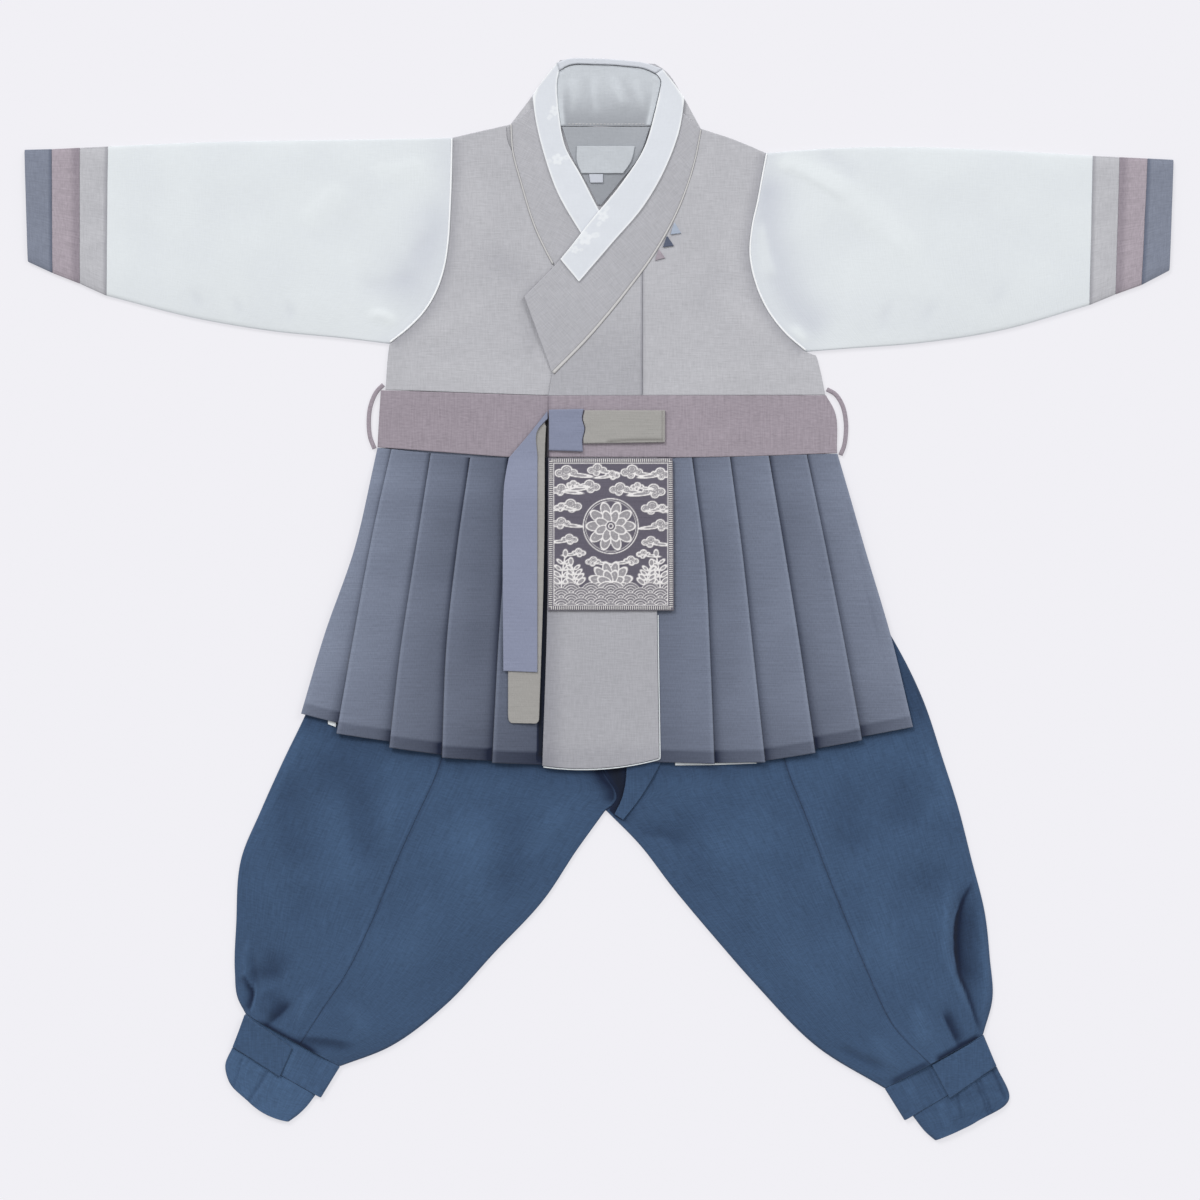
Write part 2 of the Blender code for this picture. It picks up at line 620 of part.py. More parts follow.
# Sleeves.

def tube_grid(rows, parts, start_curve=None, steps=1):
    """Plan of a tube from its section table, with its first section bent to start_curve."""
    points = smooth_rows([[(row.x, row.top), (row.end_x, row.bottom)] for row in rows], steps)
    grid = across(points, parts)
    if start_curve is not None:
        bend = start_curve - grid[0]
        fade = (1.0 - np.linspace(0.0, 1.0, len(grid))) ** 2.5
        grid = grid + fade[:, None, None] * bend[None]
    return grid


def crown(rows, parts, steps=1):
    """Height of a tube's upper layer: pressed at the folds, raised between by the table's crown."""
    share = np.linspace(-1.0, 1.0, parts + 1)
    rise = np.interp(np.linspace(0, len(rows) - 1, (len(rows) - 1) * steps + 1), range(len(rows)),
                     [row.crown for row in rows])
    return FLAT_TUBE + rise[:, None] * (1.0 - share[None] ** 4)


def build_sleeves():
    """A sleeve from each armhole, then three cuff bands."""
    parts = len(ARMHOLES) - 1
    for side, table, cuffs in (("left", SLEEVE_LEFT, CUFFS_LEFT), ("right", SLEEVE_RIGHT, CUFFS_RIGHT)):
        armhole = np.array([pairs(row, side)[0] for row in ARMHOLES])
        grid = tube_grid(table, parts, armhole, steps=2)
        grid = keep_back(grid, start=SEAM, end=SEAM)
        tube("sleeve_" + side, "white", grid, crown(table, parts, steps=2), SLEEVE_CLOTH)
        for index, colour in enumerate(CUFF_COLOURS):
            rows = cuffs[index:index + 2]
            outer_end = 0.0 if index == len(CUFF_COLOURS) - 1 else SEAM
            grid = keep_back(tube_grid(rows, 6), start=SEAM, end=outer_end)
            tube(f"cuff_{colour}_{side}", colour, grid, crown(rows, 6), SLEEVE_CLOTH)


# Collar and fronts.

def collar_curves(table):
    """Outer seam, strip edge and inner edge of a collar, smooth down its length."""
    return smooth_rows([pairs(row, "outer", "strip", "inner") for row in table], 2)


def strip_curves(table):
    """Both edges of a white strip, which turns a corner where it leaves the top of the neck."""
    return smooth_rows([pairs(row, "strip", "inner") for row in table], 2, corners=(len(STRIP_TOP_UNDER),))


def normals(curve):
    """Unit vectors across a curve, to the left of its run."""
    run = np.gradient(curve, axis=0)
    run /= np.linalg.norm(run, axis=1, keepdims=True)
    return np.stack([-run[:, 1], run[:, 0]], axis=1)


def piping(name, curve, under, end_width):
    """A narrow welt laid along a seam, widening evenly to end_width."""
    width = np.linspace(PIPING_WIDTH.start, end_width, len(curve))[:, None]
    side = normals(curve) * width / 2.0
    grid = keep_back(np.stack([curve - side, curve + side], axis=1), start=PIPING_END, end=PIPING_END)
    sheet(name, "grey", grid, under, TRIM)


def build_collar():
    """Both collars, their white strips and piping, and the linings seen in the neck."""
    under = collar_curves(COLLAR_UNDER)
    over = collar_curves(COLLAR_OVER)
    on_collar = CLOTH + GAP

    grid = keep_back(across(under[:, ::2], 4), SEAM, STRIP_CLEAR)
    sheet("collar_under", "grey", grid, UNDER)
    strip = strip_curves(STRIP_TOP_UNDER + COLLAR_UNDER)
    sheet("collar_strip_under", "white", across(strip, 2), ON_UNDER, TRIM)
    grid = keep_back(across(over[:, ::2], 4), SEAM, GAP)
    sheet("collar_over", "grey", grid, over_base)
    strip = strip_curves(STRIP_TOP_OVER + COLLAR_OVER[:STRIP_END + 1])
    sheet("collar_strip_over", "white", across(strip, 2), lambda x, y: over_base(x, y) + on_collar, TRIM)

    piping("piping_under", under[:SEEN_SECTIONS, 0], lambda x, y: ON_UNDER, PIPING_WIDTH.start)
    piping("piping_over", over[:, 0], lambda x, y: over_base(x, y) + on_collar, PIPING_WIDTH.end)

    on_lining = UNDER + TRIM + GAP
    for name, colour, table, level, thick in (
            ("collar_strip_back", "white", STRIP_BACK, UNDER, ON_UNDER + TRIM - UNDER),
            ("neck_lining", "lining", NECK_LINING, UNDER, TRIM),
            ("back_lining", "lining", BACK_LINING, UNDER, TRIM),
            ("neck_label", "lining", LABEL, on_lining, TRIM),
            ("size_tab", "white", SIZE_TAB, on_lining, TRIM)):
        rows = np.array([pairs(row, "left", "right") for row in table])
        sheet(name, colour, across(rows, 4), level, thick)


def build_fronts():
    """The front that wraps under, the front that wraps over, and the overlap panel beside the opening."""
    sides = side_curves()
    under = collar_curves(COLLAR_UNDER)[:, 0]
    over = collar_curves(COLLAR_OVER)[:, 0]

    reach = np.array(UNDER_REACH)
    hidden = np.concatenate([under[:SEEN_SECTIONS], reach[:2]])
    right = np.concatenate([resample(hidden, len(sides) - 1), reach[2:]])
    left = sides[:, 0]
    right[0] = SHOULDER_TUCK
    grid = across(np.stack([left, right], axis=1), 6)
    grid = keep_back(grid, SEAM, WIDE_SEAM)
    grid[-1, :, 1] = waist_line(grid[-1, :, 0]) + GAP
    sheet("bodice_front_under", "grey", grid, UNDER)

    seam_top = np.array([OVERLAP_SEAM_X, np.interp(OVERLAP_SEAM_X, over[::-1, 0], over[::-1, 1])])
    along = over[over[:, 0] > OVERLAP_SEAM_X]
    seam = np.linspace(seam_top, (OVERLAP_SEAM_X, WAIST_TOP + GAP), SEAM_ROWS + 1)[1:]
    left = np.concatenate([resample(np.concatenate([along, [seam_top]]), len(sides) - SEAM_ROWS), seam])
    grid = across(np.stack([left, sides[:, 1]], axis=1), 8)
    grid = keep_back(grid, WIDE_SEAM, SEAM)
    grid[0, 1:-1, 1] = shoulder_line(grid[0, 1:-1, 0])
    sheet("bodice_front_over", "grey", grid, over_base)

    along = resample(np.concatenate([[seam_top], over[over[:, 0] < OVERLAP_SEAM_X]]), 6)
    bottom = np.linspace((OVERLAP_SEAM_X, WAIST_TOP + GAP), (FRONT_EDGE_X, WAIST_TOP + GAP), 6)
    grid = across(np.stack([along, bottom], axis=1), 4)
    grid = keep_back(grid, first=WIDE_SEAM, start=GAP)
    sheet("overlap_panel", "grey", grid, over_base)


def resample(curve, count):
    """A curve's points spread evenly along its length."""
    steps = np.linalg.norm(np.diff(curve, axis=0), axis=1)
    place = np.concatenate([[0.0], np.cumsum(steps)])
    wanted = np.linspace(0.0, place[-1], count)
    return np.stack([np.interp(wanted, place, curve[:, axis]) for axis in (0, 1)], axis=1)


def build_triangles():
    """Three small folded triangles tucked in beside the collar."""
    for row in TRIANGLES:
        apex = [(row.apex_x - TIP / 2.0, row.apex_y), (row.apex_x + TIP / 2.0, row.apex_y)]
        rows = np.array([pairs(row, "left", "right"), apex])
        sheet(row.name, row.colour, rows, lambda x, y: over_base(x, y) + CLOTH + GAP, TRIM)


# Waistband and ties.

def build_waist():
    """Both ends of the waistband, its two belt loops, the hanging ties and the tied end across it."""
    left = np.array([pairs(row, "left")[0] for row in WAIST])
    middle = (WAIST_TOP + WAIST_FOOT) / 2.0
    end_x = UNDER_REACH[-1].x
    right = np.array([(end_x, WAIST_TOP), (end_x, middle), (end_x, WAIST_FOOT)])
    grid = across(np.stack([left, right], axis=1), 6)
    grid[0, :, 1] = waist_line(grid[0, :, 0])
    grid[-1, :, 1] = np.interp(grid[-1, :, 0], (WAIST[-1].left_x, TIE_X), (WAIST[-1].left_y, WAIST_FOOT))
    sheet("waistband_under", "mauve", grid, UNDER)
    left = np.array([(FRONT_EDGE_X, WAIST_TOP), (FRONT_EDGE_X, middle), (FRONT_EDGE_X, WAIST_FOOT)])
    right = np.array([pairs(row, "right")[0] for row in WAIST])
    sheet("waistband_over", "mauve", across(np.stack([left, right], axis=1), 12), over_base)

    for name, table in (("belt_loop_left", LOOP_LEFT), ("belt_loop_right", LOOP_RIGHT)):
        curve = smooth_rows([[(row.x, row.y)] for row in table], 2)[:, 0]
        side = normals(curve) * LOOP_WIDTH / 2.0
        sheet(name, "mauve", np.stack([curve - side, curve + side], axis=1), BACK, LOOP_THICK)

    tie_climb = 1.0 + PLEAT_DEPTH / CLIMB[-1].rise
    on_beige = ON_UNDER + TRIM + GAP
    for name, colour, table, level in (("tie_long_beige", "beige", TIE_BEIGE, ON_UNDER),
                                       ("tie_long_lavender", "lavender", TIE_LAVENDER, on_beige)):
        rows = np.array([pairs(row, "left", "right") for row in table])
        sheet(name, colour, across(rows, 2), lambda x, y, level=level: level + climb(y) * tie_climb, TRIM)

    for colour, table in (("lavender", BOW_LAVENDER), ("beige", BOW_BEIGE)):
        rows = np.array([pairs(row, "left", "right") for row in table])
        sheet("bow_" + colour, colour, across(rows, 2), lambda x, y: over_base(x, y) + CLOTH + GAP, BOW_THICK)


def build_badge():
    """The square embroidered panel that hangs from the waistband over the skirt's centre."""
    rows = np.array([pairs(row, "left", "right") for row in BADGE])
    sheet("badge", "badge", across(rows, 3), lambda x, y: OVER_WAIST + CLOTH + GAP + climb(y), BADGE_THICK)


# Skirt.

def row_heights(top, hem):
    """Heights of the rows down one line of the skirt: at the climb's own rows, then even to the hem."""
    start = [top, min(CLIMB[0].y, top - 0.4)] + [step.y for step in CLIMB[1:]]
    return start + list(np.linspace(CLIMB[-1].y, hem, SKIRT_ROWS + 1)[1:])


def pleat_line(row, use_fold):
    """One pleat line from waist to hem, smooth through the three places that its row gives."""
    hem = row.hem_fold if use_fold else row.hem_above
    points = pairs(row, "top", "mid", "low") + [(row.hem_x, hem)]
    curve = smooth_rows([[point] for point in points], 8)[:, 0]
    return np.array([(np.interp(y, curve[::-1, 1], curve[::-1, 0]), y) for y in row_heights(row.top_y, hem)])


def shifted(line, amount):
    """A line moved along x."""
    return line + np.array([amount, 0.0])


def pleated(name, pleats, flat, toward, level):
    """Knife pleats: at each fold line the cloth drops sharply to the panel that dips under it.

    toward is -1 or 1, the side of a panel that carries its fold. pleats run that way from the flat
    cloth at the hidden edge, and the last of them is the open side of the skirt.
    """
    # Each column is (upper face, underside, share of the pleat's depth), from the hidden edge outwards.
    columns = [(pleat_line(row, True), pleat_line(row, True), 0.0) for row in flat]
    for row in pleats[:-1]:
        fold, dip = pleat_line(row, True), shifted(pleat_line(row, False), toward * FOLD_STEP)
        lap = -toward * FOLD_LAP
        columns.append((fold, shifted(fold, lap), 1.0))
        columns.append((dip, shifted(dip, lap), 0.0))
    side = pleat_line(pleats[-1], True)
    columns.append((side, side, 0.0))

    full = []
    for before, after in zip(columns, columns[1:]):
        full.append(before)
        if before[2] == 0.0 and after is not columns[1]:
            halfway = after[2] / 2.0 if after is not columns[-1] else SIDE_RISE
            full.append(((before[0] + after[0]) / 2.0, (before[1] + after[1]) / 2.0, halfway))
    full.append(columns[-1])

    top, under = (np.stack([column[face] for column in full], axis=1) for face in (0, 1))
    rise = PLEAT_DEPTH * np.array([column[2] for column in full])[None]

    def height(grid):
        """The climb onto the trousers, with the pleats opening as it rises."""
        up = climb(grid[..., 1])
        return level + up + rise * up / CLIMB[-1].rise

    return wall(name, "skirt", at_height(top, height(top) + CLOTH), at_height(under, height(under)))


def build_skirt():
    """Two pleated fronts, the plain panel over the opening, and the lining where it shows."""
    pleated("skirt_front_left", PLEATS_LEFT[::-1], FLAT_LEFT[::-1], -1.0, UNDER)
    pleated("skirt_front_right", PLEATS_RIGHT, FLAT_RIGHT, 1.0, UNDER)

    rows = np.array([pairs(row, "left", "right") for row in CENTER_PANEL])
    grid = across(rows, 6)
    share = np.linspace(-1.0, 1.0, 7)
    grid[-1, :, 1] -= PANEL_HEM_DIP * (1.0 - share**2)
    sheet("skirt_center_panel", "grey", grid, lambda x, y: OVER_WAIST + climb(y))

    lining_level = BACK + CLIMB[-1].rise
    for name, table in (("skirt_lining_left", LINING_LEFT), ("skirt_lining_right", LINING_RIGHT)):
        rows = np.array([pairs(row, "left", "right") for row in table])
        sheet(name, "white", across(rows, 1), lining_level, TRIM)


# Trousers.

def leg_panel(name, points, gather, tuck):
    """One leg panel: cloth folded round the leg's edge and open at the seams, front and back.

    points is (section, 2, 2): the folded edge and the seam. gather ripples the upper layer, and
    tuck sinks it beside the fold.
    """
    grid = keep_back(across(points, LEG_COLUMNS), 0.0, SEAM)
    share = np.linspace(0.0, 1.0, LEG_COLUMNS + 1)[None]
    puff = leg_puff(grid[..., 0], grid[..., 1])
    ripple = np.where(np.arange(LEG_COLUMNS + 1) % 2 == 1, 1.0, 0.0)
    ripple[[0, -1]] = 0.0
    height = FLAT_TUBE + LEG_CROWN * puff * (1.0 - (1.0 - share) ** 3) + gather[:, None] * ripple[None]
    height[:, 1] -= tuck
    height[:, 2] += tuck / 2.0
    height = np.maximum(height, FLAT_TUBE)
    outer, inner = doubled(grid, height, TROUSER_CLOTH, (True, False))
    # Each row is rolled to start and end at the seams, with the fold in its middle.
    outer, inner = (np.roll(face, -LEG_COLUMNS - 1, axis=1) for face in (outer, inner))
    return wall(name, "trouser", outer, inner)


def build_trousers():
    """Waistband, an outer and an inner panel for each leg, and the gusset at the crotch."""
    for side, table in (("left", LEG_LEFT), ("right", LEG_RIGHT)):
        rows = [pairs(row, "outer", "seam", "inner") for row in table]
        points = smooth_rows(rows, 2, corners=(CROTCH_ROW,))
        place = np.arange(len(points)) / 2.0
        gather = np.interp(place, np.arange(len(table)), [row.gather for row in table])
        tuck = np.interp(place, np.arange(len(table)), [row.tuck for row in table])
        points = keep_back(points, end=LEG_END)
        leg_panel("trouser_outer_" + side, points[:, [0, 1]], gather, tuck)
        leg_panel("trouser_inner_" + side, points[:, [2, 1]], gather, 0.0 * tuck)

    grid = tube_grid(TROUSER_WAIST, 2)
    tube("trouser_waistband", "trouser", grid, crown(TROUSER_WAIST, 2), TROUSER_CLOTH)

    rows = np.array([pairs(row, "left", "right") for row in GUSSET])
    sheet("crotch_gusset", "trouser", across(rows, 2), GUSSET_LEVEL, TRIM)


def build_ankles():
    """A band, its lapped tab and the trouser end below it, at each ankle."""
    for side, band, end, bow, tab in (("left", BAND_LEFT, END_LEFT, END_BOW_LEFT, TAB_LEFT),
                                      ("right", BAND_RIGHT, END_RIGHT, END_BOW_RIGHT, TAB_RIGHT)):
        rows = np.array([pairs(row, "outer", "inner") for row in band])
        grid = across(rows, 6)
        tube("ankle_band_" + side, "trouser", grid, np.full(grid.shape[:2], BAND_HEIGHT), BAND_CLOTH)
        rows = np.array([pairs(row, "outer", "inner") for row in end])
        grid = across(rows, 6)
        across_end = normals(grid[-1])
        down = -across_end * np.sign(across_end[:, 1:])
        grid[-1] += bow * down * (1.0 - np.linspace(-1.0, 1.0, len(down))[:, None] ** 2)
        tube("ankle_end_" + side, "trouser", grid, np.full(grid.shape[:2], FLAT_TUBE), TROUSER_CLOTH)
        rows = np.array([pairs(row, "outer", "inner") for row in tab])
        sheet("ankle_tab_" + side, "trouser", across(rows, 3), BAND_HEIGHT + GAP, CLOTH)


def main():
    """Clear the scene and build every piece under one empty."""
    for old in list(bpy.data.objects):
        bpy.data.objects.remove(old)
    root = bpy.data.objects.new("hanbok", None)
    bpy.context.scene.collection.objects.link(root)
    build_back()
    build_sleeves()
    build_collar()
    build_fronts()
    build_triangles()
    build_waist()
    build_badge()
    build_skirt()
    build_trousers()
    build_ankles()


main()
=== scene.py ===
"""Dress a small boy's Korean hanbok, laid flat on a table, over its CAD frame.

A wrapped robe lies on a pair of wide trousers. Every piece of cloth is a thin wall worked out with
numpy on a grid over the layout: X runs to the wearer's left, Y towards the neck and Z up from the
table. Sizes and points are in millimetres until a mesh is made.
"""
import logging
import math
from collections.abc import Callable, Sequence
from dataclasses import dataclass, field
from enum import Enum

import bpy
import numpy as np
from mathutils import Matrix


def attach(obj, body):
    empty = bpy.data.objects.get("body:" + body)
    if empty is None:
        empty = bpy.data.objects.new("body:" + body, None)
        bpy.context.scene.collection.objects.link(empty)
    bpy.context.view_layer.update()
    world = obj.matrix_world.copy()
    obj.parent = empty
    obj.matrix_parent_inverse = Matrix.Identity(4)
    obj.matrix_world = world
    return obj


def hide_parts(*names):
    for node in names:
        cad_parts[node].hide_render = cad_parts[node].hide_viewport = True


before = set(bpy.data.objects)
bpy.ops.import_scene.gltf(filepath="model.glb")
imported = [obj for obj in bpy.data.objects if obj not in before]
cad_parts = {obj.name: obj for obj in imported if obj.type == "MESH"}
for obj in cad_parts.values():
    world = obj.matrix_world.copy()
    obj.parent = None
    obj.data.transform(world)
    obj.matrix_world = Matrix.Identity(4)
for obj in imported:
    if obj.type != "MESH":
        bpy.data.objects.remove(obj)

LOG = logging.getLogger("hanbok")
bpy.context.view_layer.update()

MM = 0.001
Array = np.ndarray
Height = Callable[[Array, Array], Array] | float  # over the layout; a number is the same everywhere
XY = tuple[float, float]
Triple = tuple[float, float, float]
Rows = Sequence[tuple[float, float, float, float]]

CLOTH = 1.2  # bodice, skirt and collar cloth with its lining
THIN = 1.1  # sleeve and trouser cloth
TRIM = 1  # ribbons, strips and labels
GAP = 0.3  # air between two layers
UNDER = CLOTH + GAP  # level of the front that wraps underneath
ON_UNDER = 2 * UNDER  # level of what lies on that front
CROSSING_RISE = 1.3  # how much higher the upper front lies where the collars cross
CLIMB_TOP = 106.5  # y at which the skirt starts to climb onto the trousers
CLIMB_RUN = 31.5  # distance over which it climbs
CLIMB_RISE = 3
HEM_MIDDLE = 5  # x at which the skirt's front hem hangs lowest
HEM_LOW = -125
HEM_BOW = 0.00076  # its rise for each square millimetre from there
FOLD_HALF = 1.35  # half the height of two layers pressed flat

STEP = 2.4  # spacing of a grid's points on cloth that shows
COARSE = 5  # and on hidden cloth
KEPT = 3  # where one piece both shows and is hidden, one line in so many is kept there
RIM = 0.55  # radius of a cloth edge
RIM_PLACES = np.array([0, 0.3, 1, 1.8])  # grid lines beside an edge, in rims
RIM_FLOOR = 0.3  # share of the thickness left right at the edge
FOLD_PLACES = np.array([0, 2.4])  # grid lines beside a pressed fold
FOLD_ANGLES = np.radians([60, 30, 0, -30, -60])
CURVE_PARTS = 16  # parts of a smooth line between two of its points
CREASE_PARTS = 22  # parts of a crease that distances are measured to
WAVES = 7  # waves that make up the uneven lie of cloth


def smoothstep(value: Array | float, start: float, end: float) -> Array:
    """Rise evenly from 0 at start to 1 at end, flat beyond both.

    Args:
        value: where to read the curve.
        start: where it leaves 0.
        end: where it reaches 1; it may lie below start, which turns the curve round.

    Returns:
        s squared times (3 - 2 s), with s the clipped share of the way.
    """
    share = np.clip((np.asarray(value, float) - start) / (end - start), 0, 1)
    return share * share * (3 - 2 * share)


def climb(_: Array, y: Array) -> Array:
    """Height that the skirt gains where it runs onto the trousers: half straight, half an even curve."""
    share = np.clip((CLIMB_TOP - y) / CLIMB_RUN, 0, 1)
    return CLIMB_RISE / 2 * share + CLIMB_RISE / 2 * smoothstep(share, 0, 1)


def upper_level(x: Array, y: Array) -> Array:
    """Underside of the front that wraps over.

    Args:
        x: place across the layout.
        y: place towards the neck.

    Returns:
        High over the other front, higher over the crossed collars, low at the side and the neck.
    """
    together = (1 - smoothstep(x, 20, 130)) * (1 - smoothstep(y, 310, 385))
    return UNDER + together * (ON_UNDER - UNDER + CROSSING_RISE * smoothstep(y, 160, 225))


def skirt_hem(x: Array) -> Array:
    """The skirt's front hem as a parabola, lowest near the middle."""
    return HEM_LOW + HEM_BOW * (x - HEM_MIDDLE) ** 2


def read(height: Height, x: Array, y: Array) -> Array | float:
    """A height or a tone at points of the layout."""
    return height(x, y) if callable(height) else height


def raised(base: Height, rise: float, follow_climb: float = 0) -> Height:
    """A height so much above another, which also follows the climb by a share of its own."""
    return lambda x, y: read(base, x, y) + rise + follow_climb * climb(x, y)


def quarter_turn(runs: Array) -> Array:
    """Vectors turned to the left by a right angle."""
    return np.stack([-runs[:, 1], runs[:, 0]], axis=1)


def leftward(path: Array) -> Array:
    """Unit vectors to the left of a path's run, at each of its points."""
    run = np.gradient(path, axis=0)
    return quarter_turn(run / np.linalg.norm(run, axis=1, keepdims=True))


@dataclass(frozen=True)
class Line:
    """A line on the layout, held as closely spaced points."""
    path: Array

    @property
    def places(self) -> Array:
        """Length run from the start at each point."""
        steps = np.linalg.norm(np.diff(self.path, axis=0), axis=1)
        return np.concatenate([[0], np.cumsum(steps)])

    @property
    def length(self) -> float:
        """Length of the whole line."""
        return float(self.places[-1])

    def at(self, share: Array) -> Array:
        """Points at shares of the line's length, as rows of x and y."""
        wanted = np.asarray(share) * self.length
        return np.stack([np.interp(wanted, self.places, self.path[:, k]) for k in (0, 1)], axis=-1)

    def between(self, start: float, end: float) -> "Line":
        """The stretch between two shares of the length."""
        return Line(self.at(np.linspace(start, end, 8 * CURVE_PARTS)))

    def from_point(self, number: int) -> "Line":
        """The stretch from one of its given points to the end."""
        return self.between(float(self.places[number * CURVE_PARTS]) / self.length, 1)

    def joined(self, other: "Line") -> "Line":
        """This line and then another that starts where it ends."""
        return Line(np.vstack([self.path, other.path[1:]]))

    def share_at(self, axis: int, value: float) -> float:
        """Share of the length at which a line that only falls along an axis reaches a value."""
        return float(np.interp(-value, -self.path[:, axis], self.places) / self.length)

    def moved(self, aside: float, along: XY = (0, 0)) -> "Line":
        """A parallel line, aside millimetres to the left of the run, cut back at both ends."""
        length = self.length
        path = self.between(along[0] / length, 1 - along[1] / length).path
        return Line(path + aside * leftward(path))


def curve(*points: XY | Array, corners: Sequence[int] = ()) -> Line:
    """Draw a smooth line through given points.

    Between two points it is a cubic whose end slopes mean the chords on both sides, each
    weighted by the nearer one. At a corner the slopes are the chords' own.

    Args:
        points: places in millimetres.
        corners: indices of the points where the line turns sharply.

    Returns:
        The line.
    """
    places = np.array(points, float)
    chords = np.diff(places, axis=0)
    lengths = np.linalg.norm(chords, axis=1, keepdims=True)
    slopes = chords / lengths
    behind, ahead = np.vstack([slopes[:1], slopes]), np.vstack([slopes, slopes[-1:]])
    before, after = np.vstack([lengths[:1], lengths]), np.vstack([lengths, lengths[-1:]])
    even = (behind * after + ahead * before) / (before + after)
    turns = np.zeros((len(places), 1), bool)
    turns[list(corners)] = True
    leave = (np.where(turns, ahead, even)[:-1] * lengths)[:, None]
    arrive = (np.where(turns, behind, even)[1:] * lengths)[:, None]
    u = np.linspace(0, 1, CURVE_PARTS, endpoint=False)[None, :, None]
    start, end = places[:-1, None], places[1:, None]
    filled = ((2 * u**3 - 3 * u**2 + 1) * start + (u**3 - 2 * u**2 + u) * leave
             + (3 * u**2 - 2 * u**3) * end + (u**3 - u**2) * arrive)
    return Line(np.vstack([filled.reshape(-1, 2), places[-1:]]))


def straight(start: XY | Array, end: XY | Array) -> Line:
    """A straight line from one point to another."""
    return Line(np.linspace(np.asarray(start, float), np.asarray(end, float), 2 * CURVE_PARTS))


@dataclass(frozen=True)
class Crease:
    """A ridge or trough of cloth along a smooth line.

    Its height falls as a bell curve with the distance from the line, at its own rate on each side,
    and fades to nothing at both ends.
    """
    line: tuple[XY, ...]
    height: float  # at the line; below 0 for a trough
    left: float  # distance over which it dies away to the left of its run
    right: float
    fade: float = 0.3  # share of the length over which an end fades

    def lift(self, x: Array, y: Array) -> Array:
        """Height that the crease adds over the layout.

        Args:
            x: places across.
            y: places along.

        Returns:
            Height times exp of minus the squared distance in widths, faded at the ends.
        """
        path = curve(*self.line).at(np.linspace(0, 1, CREASE_PARTS + 1))
        start, run = path[:-1], np.diff(path, axis=0)
        points = np.stack([x, y], axis=-1).reshape(-1, 1, 2)
        from_start = points - start
        share = np.clip((from_start * run).sum(-1) / (run * run).sum(-1), 0, 1)
        off = from_start - share[..., None] * run
        distance = np.linalg.norm(off, axis=-1)
        near = distance.argmin(axis=1)
        rows = np.arange(len(near))
        side = run[near, 0] * off[rows, near, 1] - run[near, 1] * off[rows, near, 0]
        width = np.where(side > 0, self.left, self.right)
        place = (near + share[rows, near]) / CREASE_PARTS
        fade = smoothstep(place, 0, self.fade) * smoothstep(1 - place, 0, self.fade)
        rise = self.height * np.exp(-((distance[rows, near] / width) ** 2)) * fade
        return rise.reshape(x.shape)


@dataclass(frozen=True)
class Wobble:
    """The uneven lie of cloth: long slanted waves added up, from a fixed seed."""
    height: float
    length: float  # typical length of a wave
    seed: int

    def lift(self, x: Array, y: Array) -> Array:
        """Half the height times 1 plus the soft-clipped sum of the waves."""
        draw = np.random.default_rng(self.seed)
        total = np.zeros(np.shape(x))
        for _ in range(WAVES):
            angle, size, phase = draw.uniform((0, 0.6, 0), (math.pi, 1.7, 2 * math.pi))
            total = total + np.cos((x * math.cos(angle) + y * math.sin(angle))
                                   * 2 * math.pi / (size * self.length) + phase)
        return self.height * (0.5 + 0.5 * np.tanh(total / 2))


def creases(*rows: Sequence[float]) -> tuple[Crease, ...]:
    """Creases from a table.

    Args:
        rows: height, width on the left, width on the right and fade, then x and y of each point.

    Returns:
        A crease for each row, in the same order.
    """
    return tuple(Crease(tuple(zip(points[::2], points[1::2])), height, left, right, fade)
                 for height, left, right, fade, *points in rows)


def crease_along(line: Line, points: int, height: float, width: float, fade: float) -> Crease:
    """A crease that follows a line, as wide to its left as to its right."""
    return Crease(tuple(map(tuple, line.at(np.linspace(0, 1, points)))), height, width, width, fade)


Relief = Sequence[Crease | Wobble]


def relief_at(relief: Relief, x: Array, y: Array) -> Array:
    """Sum of all the creases and waves over the layout."""
    total = np.zeros(np.shape(x))
    for part in relief:
        total = total + part.lift(x, y)
    return total


def spread(length: float, step: float, rims: tuple[bool, bool] = (True, True),
           rim: float = RIM) -> tuple[Array, Array]:
    """Place grid lines across a piece, closer together beside its edges.

    Args:
        length: size of the piece that way.
        step: spacing in the middle.
        rims: whether the start and the end are rounded edges; otherwise they are pressed folds.
        rim: radius of a rounded edge.

    Returns:
        Shares of the length, and at each the share of the thickness that a rounded edge leaves:
        a quarter circle over the rim.
    """
    first = rim * RIM_PLACES if rims[0] else FOLD_PLACES
    last = length - (rim * RIM_PLACES if rims[1] else FOLD_PLACES)[::-1]
    count = max(2, round((last[0] - first[-1]) / step) + 1)
    place = np.concatenate([first, np.linspace(first[-1], last[0], count)[1:-1], last])
    from_edge = np.full(len(place), rim)
    if rims[0]:
        from_edge = np.minimum(from_edge, place)
    if rims[1]:
        from_edge = np.minimum(from_edge, length - place)
    from_edge /= rim
    rounding = np.sqrt(1 - (1 - np.clip(from_edge, 0, 1)) ** 2)
    return place / length, RIM_FLOOR + (1 - RIM_FLOOR) * rounding


def patch(top: Line, bottom: Line, left: Line, right: Line, u: Array, v: Array) -> Array:
    """Fill four lines with a grid: the mean of both ruled surfaces less their corners' share.

    Args:
        top: from the left corner to the right.
        bottom: the same way.
        left: from the top corner to the bottom.
        right: the same way.
        u: shares across.
        v: shares down.

    Returns:
        Points as (row, column, 2).
    """
    across, down = u[None, :, None], v[:, None, None]
    t, b = top.at(u)[None], bottom.at(u)[None]
    l, r = left.at(v)[:, None], right.at(v)[:, None]
    corners = ((1 - across) * ((1 - down) * t[:, :1] + down * b[:, :1])
               + across * ((1 - down) * t[:, -1:] + down * b[:, -1:]))
    return (1 - down) * t + down * b + (1 - across) * l + across * r - corners


